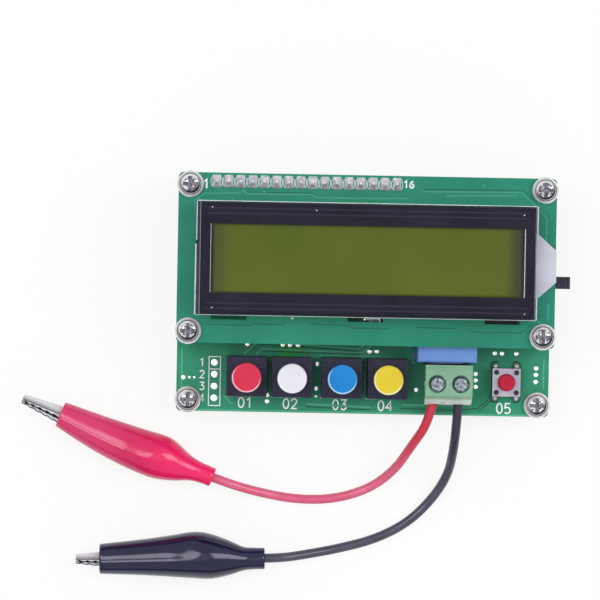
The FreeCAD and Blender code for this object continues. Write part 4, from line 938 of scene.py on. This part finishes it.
MAIN_TRACES = [
    [(-25.5, -13.0), (-22.6, -10.4), (-1.0, -11.6), (0.4, -10.6)],
    [(-23.0, -13.2), (-21.7, -11.9), (-17.2, -12.05), (-0.2, -12.4), (1.6, -10.9)],
    [(-9.2, -13.0), (3.6, -13.1), (4.6, -13.8)],
    [(-29.6, -22.3), (-28.0, -23.9)],
    [(-12.0, -23.6), (1.8, -24.1)],
    [(8.6, -23.4), (22.0, -23.6)],
    [(20.6, -13.9), (23.0, -12.4), (23.0, -11.1)],
    [(-38.9, -22.0), (-38.9, -12.0)],
    [(38.9, -13.0), (38.9, -19.6)],
    [(-19.9, -14.2), (-19.9, -21.4)],
    [(0.5, -14.2), (0.5, -21.4)],
]
FRONT_TRACE = [(-36.0, -25.24), (36.0, -25.24)]
MAIN_CLEARANCES = [
    [(24.0, -24.0), (24.8, -24.0), (27.3, -21.7)],
    [(25.1, -24.6), (27.7, -22.1)],
    [(8.2, -24.2), (21.0, -24.4), (24.0, -24.0)],
    [(-12.0, -24.2), (1.6, -24.6)],
    [(-22.3, -10.9), (-1.2, -12.0)],
    [(-21.4, -12.4), (-0.4, -12.8)],
]
UNDERSIDE_TRACES = [
    [(-24.9, -15.2), (-24.9, -9.0), (-20.0, -4.0), (-20.0, 20.0)],
    [(-14.8, -15.2), (-14.8, -6.0), (-17.4, -3.4), (-17.4, 20.0)],
    [(-4.6, -15.2), (-4.6, -4.0), (-14.8, 6.2), (-14.8, 20.0)],
    [(5.5, -15.2), (5.5, 0.0), (-12.3, 17.8), (-12.3, 20.5)],
    [(15.6, -15.4), (15.6, -2.0), (10.0, 4.0), (-9.5, 4.0), (-9.5, 20.5)],
    [(30.7, -14.0), (27.0, -10.0), (27.0, 8.0), (20.0, 15.0), (2.0, 15.0), (2.0, 20.5)],
    [(-29.4, 9.0), (-33.0, 9.0), (-33.0, 19.0)],
    [(35.0, 4.4), (31.0, 4.4), (31.0, 12.0), (24.0, 19.0), (8.0, 19.0)],
]
UNDER_FILLET = [(0.95, 0.0), (0.9, -0.08), (0.62, -0.3), (0.46, -0.65), (0.38, -1.1)]
OVER_FILLET = [(0.78, 0.0), (0.75, 0.12), (0.6, 0.4), (0.46, 0.8), (0.36, 1.28), (0.2, 1.36)]
CONTACT_FILLET = [(1.2, 1.04, 0.0), (1.16, 1.0, 0.1), (0.84, 0.68, 0.4), (0.64, 0.496, 0.9)]


def make_board_marks():
    """Printed numbers of the switches and of the spare header, with its box, and a few printed lines."""
    marks = Shape()
    for k, (x, y) in enumerate(SWITCHES):
        marks.numerals(f"0{k + 1}", x - 1.7, y - 6.9 - 0.05 * k, FIGURE_HEIGHT, BOARD_TOP)
    marks.numerals("05", 28.9, -24.85, FIGURE_HEIGHT, BOARD_TOP)
    marks.ribbon(SPARE_BOX, 0.2, BOARD_TOP)
    marks.ribbon([(-33.05, -16.45), (-30.6, -16.45)], 0.2, BOARD_TOP)
    for k in range(SPARE_PINS):
        marks.numerals(str(k + 1), -35.0, -15.85 - PIN_PITCH * k, 1.6, BOARD_TOP, 0.26)
    for k, (x, y) in enumerate(SWITCHES):
        length = 9.0 - 2.2 * k
        marks.ribbon([(x - 4.4, y - 4.55), (x - 4.4 + length, y - 4.55)], 0.13, BOARD_TOP, 0.02)
    marks.ribbon([(10.95, -11.6), (10.95, -14.5)], 0.18, BOARD_TOP)
    marks.piece("main_board_silkscreen", "silkscreen", "main_board_laminate", smooth=0)


def make_board_holes():
    """Tinned rings of the spare header, each filled with solder, and the tinned holes of the board."""
    pads = Shape()
    for k in range(SPARE_PINS):
        y = SPARE_FIRST_Y - PIN_PITCH * k
        pads.turned(SPARE_X, y, BOARD_TOP, SPARE_PAD, ends=False)
        pads.disc(SPARE_X, y, BOARD_TOP - 0.2, 0.49, 0.2)
    pads.piece("spare_header_pads", "via_tin", "solder")
    vias = Shape()
    for places, radius in ((LARGE_VIAS, 0.46), (SMALL_VIAS, 0.26)):
        for x, y in places:
            vias.disc(x, y, BOARD_TOP, radius)
    vias.piece("main_board_vias", "via_tin", "solder")


def make_board_traces():
    """Tracks of the main board and the gaps beside them, with arcs round the legs of the function switch."""
    light = Shape()
    light.ribbons(MAIN_TRACES, 0.3, BOARD_TOP)
    light.ribbon(FRONT_TRACE, 0.34, BOARD_TOP)
    light.piece("main_board_traces", "trace_main", "main_board_laminate", smooth=0)
    dark = Shape()
    dark.ribbons(MAIN_CLEARANCES, 0.2, BOARD_TOP, 0.02)
    x, y = FUNC_MIDDLE
    for i in SIDES:
        for j in SIDES:
            turn = 90 * j - 40 * i * j
            dark.arc(x + 2.25 * i, y + 3.4 * j, 1.05, turn - 85, turn + 85, 0.26, BOARD_TOP, 0.02)
    dark.piece("main_board_clearances", "trace_dark", "main_board_laminate", smooth=0)


def make_solder():
    """Fillets round the legs: under the board for all of them, and on top at the function switch."""
    under, over = Shape(), Shape()
    for low, high in islands("soldered_legs"):
        x, y = centre(low, high)
        under.turned(x, y, BOARD_BOTTOM, UNDER_FILLET, 20)
        if high.z > BOARD_TOP + 0.5:
            lean = 0.12 if y > FUNC_MIDDLE[1] else -0.12
            over.loft([circle(x, y + lean * (1.3 - rise), BOARD_TOP + rise, radius, 20)
                       for radius, rise in OVER_FILLET])
    for low, high in islands("terminal_contacts"):
        x = centre(low, high)[0]
        under.loft([circle(x, high.y - 0.4, BOARD_BOTTOM - drop, across, 20, along)
                    for across, along, drop in CONTACT_FILLET])
    under.piece("underside_solder", "solder", smooth=60)
    over.piece("func_leg_solder", "leg_solder", "solder", smooth=60)
    traces = Shape()
    traces.ribbons(UNDERSIDE_TRACES, 0.5, BOARD_BOTTOM - 0.03)
    traces.piece("underside_traces", "trace_main", "main_board_laminate", smooth=0)


# Switches


POST_REACH = 3.55
POST = [(0.42, -0.01), (0.42, 0.1), (0.3, 0.18)]
MOULDING_DROP = 5.2
MOULDING = [(8.62, 0.0), (8.62, 0.22), (8.44, 0.22), (8.44, 0.0), (8.62, 0.0)]
CAP_RIM = [(3.11, -0.6), (3.14, -0.3), (3.06, -0.06), (2.97, 0.04), (2.88, 0.05), (2.8, 0.0)]
SPRING_WIRE = 0.22
SPRING_TURNS = 6
DOME_WALL = 0.06


def make_switch_details():
    """Corner posts, a moulding line round each housing, and the rim of each cap."""
    posts, lines = Shape(), Shape()
    top = box("switch_housings")[1].z
    for x, y in SWITCHES:
        for i in SIDES:
            for j in SIDES:
                posts.turned(x + POST_REACH * i, y + POST_REACH * j, top, POST, 16)
        lines.loft([rounded(x, y, top - MOULDING_DROP + rise, side, side, 0.1, 1) for side, rise in MOULDING],
                   ends=False)
    posts.piece("switch_posts", "switch_black")
    lines.piece("switch_moulding", "lever_grey", "switch_black", smooth=0)
    for colour, (x, y) in zip(CAPS, SWITCHES):
        rim = Shape()
        rim.turned(x, y, box(f"{colour}_cap")[1].z, CAP_RIM, 64, ends=False)
        rim.piece(f"{colour}_cap_rim", f"cap_rim_{colour}", f"cap_{colour}", f"{colour}_button", smooth=60)


def make_switch_springs():
    """Coil springs under the push buttons."""
    for colour, (low, high) in zip(CAPS, islands("switch_springs")):
        x, y = centre(low, high)
        reach = (high.x - low.x) / 2 - SPRING_WIRE
        length = high.z - low.z - 2 * SPRING_WIRE
        spring = Shape()
        spring.coil(Vector((x, y, low.z + SPRING_WIRE)), UPRIGHT, reach, SPRING_WIRE, length, SPRING_TURNS)
        piece = spring.piece(f"{colour}_switch_spring", "spring_steel", smooth=60)
        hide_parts("switch_springs")
        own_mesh(piece)


def make_func_dome():
    """The snap dome of the function switch."""
    (low, high), = islands("func_dome")
    x, y = centre(low, high)
    reach, height = (high.x - low.x) / 2, high.z - low.z
    turns = [math.pi * k / 18 for k in range(9)]
    outside = [(reach * math.cos(a), height * math.sin(a)) for a in turns] + [(0.05, height)]
    inside = [(radius * 0.94, max(0.0, rise - DOME_WALL)) for radius, rise in reversed(outside)]
    dome = Shape()
    dome.turned(x, y, low.z, inside + outside, 32)
    piece = dome.piece("func_switch_dome", "spring_steel", "func_steel", smooth=60)
    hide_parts("func_dome")
    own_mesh(piece)


def make_lever_ribs():
    """Three ribs across the top of the power lever."""
    low, high = box("power_switch_lever")
    y = centre(low, high)[1]
    top = BOARD_TOP + 3.5
    ribs = Shape()
    for k in range(3):
        x = high.x - 0.45 - 0.75 * k
        ribs.loft([rounded(x, y, top + rise, 0.36 - rise, 2.5, 0.1) for rise in (-0.02, 0.16)])
    ribs.piece("power_lever_ribs", "lever_grey", "power_plastic", body="power_lever", smooth=0)


# Terminal, relay and the parts between the boards


CONTACT_COUNT = 5
CONTACT_PITCH = 0.8
WINDING_TURNS = 14
WINDING_REACH = 3.1
WINDING_WIRE = 0.19
WINDING_INSET = 1.25
STRIPE_INSIDE = 3.1
STRIPE_OUTSIDE = 3.18
VENT = [(2.7, -0.02), (2.7, 0.03), (2.6, 0.05)]
VENT_LINE = 2.2


def make_terminal_details():
    """A rail along the back of the housing, a ledge under each mouth and a rib at each side."""
    low, high = box("terminal_housing")
    x = centre(low, high)[0]
    trim = Shape()
    trim.loft([rounded(x, high.y - 0.75, high.z + rise, 10.0 - rise, 0.5 - rise, 0.08)
               for rise in (-0.02, 0.1)])
    for side in SIDES:
        trim.loft([rounded(x + side * 2.5, low.y - 0.02, low.z + rise, 3.9, 0.3, 0.1) for rise in (1.2, 1.5)])
        trim.loft([rounded(x + side * 5.05, low.y + 4.6, low.z + rise, 0.3, 1.3, 0.1) for rise in (0.2, 9.0)])
    trim.piece("terminal_rails", "terminal_green", smooth=0)


def make_relay_details():
    """The foot line of the case and the moulded step along its front."""
    low, high = box("relay_case")
    x, y = centre(low, high)
    band = Shape()
    band.loft([rounded(x, y, low.z + rise, 13.46, 9.06, 0.2) for rise in (0.25, 0.55)], ends=False)
    band.loft([rounded(x - 0.4, low.y + 0.28, high.z + rise, 7.0, 0.28, 0.1) for rise in (-1.1, -0.72)])
    band.piece("relay_foot_line", "relay_line", "relay_blue", smooth=0)


def make_socket_contacts():
    """Five gold strips on the tongue of the supply socket."""
    low, high = box("usb_tongue")
    level = (low.z + high.z) / 2 + 0.5
    strips = Shape()
    for k in range(CONTACT_COUNT):
        y = centre(low, high)[1] + (k - 2) * CONTACT_PITCH
        strips.ribbon([(high.x - 4.2, y), (high.x - 0.2, y)], 0.4, level, 0.06)
    strips.piece("usb_contacts", "gold", "usb_steel", smooth=0)


def make_chip_marks():
    """A round mark at the first pin of each chip."""
    marks = Shape()
    for node in ("controller_chip", "comparator_chip"):
        low, high = box(node)
        marks.disc(low.x + 1.0, low.y + 2.4, high.z - 0.005, 0.4, 0.02)
    marks.piece("chip_pin_marks", "mark_grey", "chip_black")


def make_coil_winding():
    """Rings of copper wire round the tank coil."""
    low, high = box("tank_coil")
    profile = [(WINDING_REACH + WINDING_WIRE * math.cos(a), WINDING_WIRE * math.sin(a))
               for a in EIGHTHS + [2 * math.pi]]
    winding = Shape()
    for k in range(WINDING_TURNS):
        level = low.z + WINDING_INSET + (high.z - low.z - 2 * WINDING_INSET) * k / (WINDING_TURNS - 1)
        winding.turned(*centre(low, high), level, profile, 32, ends=False)
    winding.piece("tank_coil_winding", "coil_copper", "coil_sleeve", smooth=60)


def make_capacitor_details():
    """The pale stripe down one side of the capacitor, and its bare top with a cross on it."""
    low, high = box("filter_capacitor")
    x, y = centre(low, high)
    turns = [math.radians(150 + 6 * k) for k in range(11)]
    outline = [(x + STRIPE_OUTSIDE * math.cos(a), y + STRIPE_OUTSIDE * math.sin(a)) for a in turns]
    outline += [(x + STRIPE_INSIDE * math.cos(a), y + STRIPE_INSIDE * math.sin(a)) for a in reversed(turns)]
    stripe = Shape()
    stripe.loft([[(*point, level) for point in outline] for level in (low.z + 1.7, high.z - 0.5)])
    stripe.piece("capacitor_stripe", "mark_grey", "capacitor_sleeve", smooth=60)
    vent = Shape()
    vent.turned(x, y, high.z, VENT, 32)
    for turn in (20, 110):
        along = Vector((math.cos(math.radians(turn)), math.sin(math.radians(turn)))) * VENT_LINE
        vent.ribbon([Vector((x, y)) - along, Vector((x, y)) + along], 0.22, high.z + 0.04, 0.05)
    vent.piece("capacitor_vent", "crystal_steel", "capacitor_sleeve", smooth=50)


# Test leads


BOOT_COUNT = 128
BOOT_STEPS = 56
BOOT_WALL = 0.45
BOOT_FLOOR = 0.02
TOP_SEAM = (1.75, 0.045)
TOP_SEAM_HEIGHT = 0.16
TOP_SEAM_END = 20
TOP_SEAM_FADE = 4
UNDER_SEAM = (4.9, 0.06)
UNDER_SEAM_HEIGHT = 0.12
DENT_TURN = (1.35, 0.4)
DENT_PLACE = (19.0, 2.6)
DENT_DEPTH = 0.3
SEAM_TURNS = (1.71, 1.73, 1.76, 1.78)
SEAM_LIFTS = (-0.05, 0.05, 0.05, -0.05)
SEAM_PLACES = (0.4, 2, 4, 6, 8, 10, 12, 14, 15.5)
COLLAR_RADIUS = 1.06
COLLAR_DEPTH = 3.0
CLIP_WIRE = 0.18
CLIP_REACH = 0.8
CLIP_TURNS = 3
CLIP_COIL_LENGTH = 1.1
CLIP_LEG_LENGTH = 10.0
CLIP_LEG_RISE = 1.97
CLIP_LEG_SHIFT = 0.37
STRAND_RADIUS = 0.19
STRAND_RING = 0.4
STRAND_STEPS = 8
STRAND_LENGTH = 3.2
STRAND_TWIST = 0.35


def at(points, place):
    """A smooth curve through points, each (place, size), read at one place."""
    for k in range(len(points) - 1):
        (left, low), (right, high) = points[k], points[k + 1]
        if place <= right or k == len(points) - 2:
            step = right - left
            before = points[max(k - 1, 0)]
            after = points[min(k + 2, len(points) - 1)]
            start = (high - before[1]) / (right - before[0])
            end = (after[1] - low) / (after[0] - left)
            t = min(max((place - left) / step, 0.0), 1.0)
            return ((2 * t ** 3 - 3 * t ** 2 + 1) * low + (t ** 3 - 2 * t ** 2 + t) * step * start
                    + (3 * t ** 2 - 2 * t ** 3) * high + (t ** 3 - t ** 2) * step * end)


def hump(value, middle, spread):
    """1 at the middle, falling off smoothly to both sides."""
    return math.exp(-((value - middle) / spread) ** 2)


def boot_ring(lead, place, inset=0.0, turns=angles(BOOT_COUNT)):
    """Points round a boot at a distance from its mouth, with its seams and thumb dent unless inset."""
    along, across = directions(lead)
    upper, lower, depth = (at(lead[name], place) for name in ("upper", "lower", "depth"))
    shift, width = (upper - lower) / 2, (upper + lower) / 2
    middle = boot_mouth(lead) - along * place
    fade = min(1.0, max(0.0, (TOP_SEAM_END - place) / TOP_SEAM_FADE))
    points = []
    for turn in turns:
        seam = TOP_SEAM_HEIGHT * hump(turn, *TOP_SEAM) * fade
        seam += UNDER_SEAM_HEIGHT * hump(turn, *UNDER_SEAM)
        dent = DENT_DEPTH * hump(turn, *DENT_TURN) * hump(place, *DENT_PLACE)
        grow = (0.0 if inset else seam - dent) - inset
        side = across * (shift + (width + grow) * math.cos(turn))
        point = middle + side + UP * ((depth + grow) * math.sin(turn))
        point.z = max(point.z, BOOT_FLOOR)
        points.append(point)
    return points


def follow_jaw(piece, lead):
    """Bakes the placement of a piece of a boot into its mesh."""
    along, _ = directions(lead)
    pivot, opening = jaw_hinge(lead)
    tilted = (opening + along * 0.2).normalized()
    start, end = pivot - tilted * 0.5, pivot + tilted * 4.0
    start * MM
    end * MM
    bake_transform(piece)


def make_boot_seam(colour, lead):
    """A paler line along the seam on top of the boot: the seam ridge with a painted highlight."""
    seam = Shape()
    seam.loft([[point + UP * lift for point, lift in zip(boot_ring(lead, place, 0.0, SEAM_TURNS), SEAM_LIFTS)]
               for place in SEAM_PLACES])
    piece = seam.piece(f"{colour}_boot_seam", f"{colour}_boot_seam", f"boot_{colour}", body=None, smooth=60)
    follow_jaw(piece, lead)


def make_boot(colour, lead):
    """A soft sleeve, open at the mouth, that closes round the wire in a collar."""
    along, across = directions(lead)
    rings = [boot_ring(lead, place, BOOT_WALL) for place in (9.0, 4.0, 0.6)]
    rings += [boot_ring(lead, 0.0, BOOT_WALL * 0.75), boot_ring(lead, -0.05, BOOT_WALL * 0.4)]
    rings.append(boot_ring(lead, 0.03, 0.06))
    rings += [boot_ring(lead, 0.2 + (BOOT_LENGTH - 0.45) * k / BOOT_STEPS) for k in range(BOOT_STEPS + 1)]
    rings += [boot_ring(lead, BOOT_LENGTH - 0.08, 0.05), boot_ring(lead, BOOT_LENGTH, 0.2)]
    collar = [lead["boot_end"] + (across * math.cos(a) + UP * math.sin(a)) * COLLAR_RADIUS
              for a in angles(BOOT_COUNT)]
    rings += [collar, [point + along * COLLAR_DEPTH for point in collar]]
    shape = Shape()
    shape.loft(rings, ends=False)
    boot = shape.piece(f"{colour}_boot", f"{colour}_boot_vinyl", f"boot_{colour}", body=None, smooth=70)
    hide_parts(f"{colour}_clip_boot")
    follow_jaw(boot, lead)
    return boot


def make_clip_spring(colour, lead):
    """The coil round a clip's rivet, with a leg under each handle."""
    along, _ = directions(lead)
    pivot, opening = jaw_hinge(lead)
    axis = along.cross(opening)
    spring = Shape()
    spring.coil(pivot - axis * (CLIP_COIL_LENGTH / 2), (along, opening, axis), CLIP_REACH, CLIP_WIRE,
                CLIP_COIL_LENGTH, CLIP_TURNS)
    for side in SIDES:
        shift = axis * (CLIP_LEG_SHIFT * side)
        tip = pivot - along * CLIP_LEG_LENGTH + opening * (CLIP_LEG_RISE * side)
        ends = (pivot + opening * (CLIP_REACH * side), tip)
        spring.loft([[end + shift + (opening * math.cos(a) + axis * math.sin(a)) * CLIP_WIRE for a in EIGHTHS]
                     for end in ends])
    piece = spring.piece(f"{colour}_clip_coil", "spring_steel", body=None, smooth=60)
    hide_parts(f"{colour}_clip_spring")
    (pivot - opening * CLIP_REACH) * MM
    (pivot + opening * CLIP_REACH) * MM
    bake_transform(piece)
    return piece


def make_wire(colour, lead):
    """The wire from the terminal into the collar of the boot."""
    along, _ = directions(lead)
    route = [Vector((lead["pole"], WIRE_START_Y, WIRE_LEVEL))] + [Vector(point) for point in lead["route"]]
    route += [lead["boot_end"] - along * WIRE_INTO_BOOT, lead["boot_end"] + along * WIRE_INTO_BOOT]
    data = bpy.data.curves.new(f"{colour}_wire", "CURVE")
    data.dimensions = "3D"
    data.bevel_depth = WIRE_RADIUS * MM
    data.bevel_resolution = 6
    data.resolution_u = 16
    data.use_fill_caps = True
    spline = data.splines.new("NURBS")
    spline.points.add(len(route) - 1)
    for control, point in zip(spline.points, route):
        control.co = (*(point * MM), 1.0)
    spline.order_u = 3
    spline.use_endpoint_u = True
    data.materials.append(finishes[f"{colour}_wire_vinyl"].material)
    wire = bpy.data.objects.new(f"{colour}_wire", data)
    scene.collection.objects.link(wire)
    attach(wire, "tester")
    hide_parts(f"{colour}_lead_wire")
    return wire


def make_strands(colour, lead):
    """The bare end of a wire in its clamp: six strands twisted round a seventh."""
    strands = Shape()
    for turn, reach in [(turn, STRAND_RING) for turn in angles(6)] + [(0.0, 0.0)]:
        rings = []
        for step in range(STRAND_STEPS + 1):
            y = WIRE_START_Y + STRAND_LENGTH * step / STRAND_STEPS
            twist = turn + STRAND_TWIST * step
            x, z = lead["pole"] + reach * math.cos(twist), WIRE_LEVEL + reach * math.sin(twist)
            rings.append([(x + STRAND_RADIUS * math.cos(a), y, z + STRAND_RADIUS * math.sin(a))
                          for a in EIGHTHS])
        strands.loft(rings)
    strands.piece(f"{colour}_wire_strands", "strand_copper", f"wire_{colour}", smooth=60)


def make_lead(colour, lead):
    """One test lead: boot, clip spring, wire and strands."""
    if lead["seam"]:
        make_boot_seam(colour, lead)
    boot = make_boot(colour, lead)
    spring = make_clip_spring(colour, lead)
    wire = make_wire(colour, lead)
    make_strands(colour, lead)


# Making it all


NODE_FINISH = {
    "main_board": "main_board_laminate",
    "lcd_board": "lcd_board_laminate",
    "lcd_bezel": "bezel_paint",
    "lcd_glass": "lcd_glass",
    "lcd_backlight": "light_guide",
    "lcd_zebra_strips": "zebra_rubber",
    "lcd_driver_blobs": "epoxy",
    "lcd_header_strip": "header_strip",
    "lcd_header_socket": "header_black",
    "lcd_screws": "screw_nickel",
    "board_screws": "screw_nickel",
    "lcd_standoffs": "standoff_brass",
    "foot_standoffs": "standoff_brass",
    "switch_housings": "switch_black",
    "soldered_legs": "contact_tin",
    "func_switch_base": "tact_base",
    "func_switch_cover": "tact_cover",
    "func_button": "tact_button",
    "power_switch_base": "header_black",
    "power_switch_shell": "switch_steel",
    "power_switch_lever": "lever_grey",
    "terminal_housing": "terminal_green",
    "terminal_contacts": "contact_tin",
    "relay_case": "relay_blue",
    "relay_base": "relay_inside",
    "usb_shell": "switch_steel",
    "usb_tongue": "header_black",
    "controller_chip": "chip_black",
    "comparator_chip": "chip_black",
    "crystal_can": "crystal_steel",
    "tank_coil": "coil_sleeve",
    "filter_capacitor": "capacitor_blue",
    "clip_rivets": "jaw_nickel",
}
for colour in CAPS:
    NODE_FINISH[f"{colour}_plunger"] = "plunger_white"
    NODE_FINISH[f"{colour}_cap"] = f"cap_{colour}"
for colour in LEADS:
    NODE_FINISH[f"{colour}_terminal_cage"] = "clamp_steel"
    NODE_FINISH[f"{colour}_terminal_screw"] = "clamp_screw"
    for part in JAW_SIDES:
        NODE_FINISH[f"{colour}_clip_{part}_jaw"] = f"{colour}_{part}_jaw_nickel"

make_camera()
make_world()
make_softbox("softbox_left", (-0.42, 0.15, 1.0), (0.45, 0.55), 2.9)
make_softbox("softbox_right", (0.6, 0.15, 0.9), (0.45, 0.55), 3.2)
make_floor()
scene.view_settings.view_transform = "Standard"

finish_boards()
finish_bezel()
finish_display()
finish_header()
finish_screws()
finish_switches()
finish_terminal()
finish_inner_parts()
finish_leads()
for node, finish in NODE_FINISH.items():
    nodes[node].data.materials.clear()
    nodes[node].data.materials.append(finishes[finish].material)

for colour, lead in LEADS.items():
    make_lead(colour, lead)
make_display_pins()
make_display_marks()
make_display_traces()
make_bezel_trim()
make_board_marks()
make_board_holes()
make_board_traces()
make_solder()
make_switch_details()
make_switch_springs()
make_func_dome()
make_terminal_details()
make_relay_details()
make_lever_ribs()
make_socket_contacts()
make_chip_marks()
make_coil_winding()
make_capacitor_details()
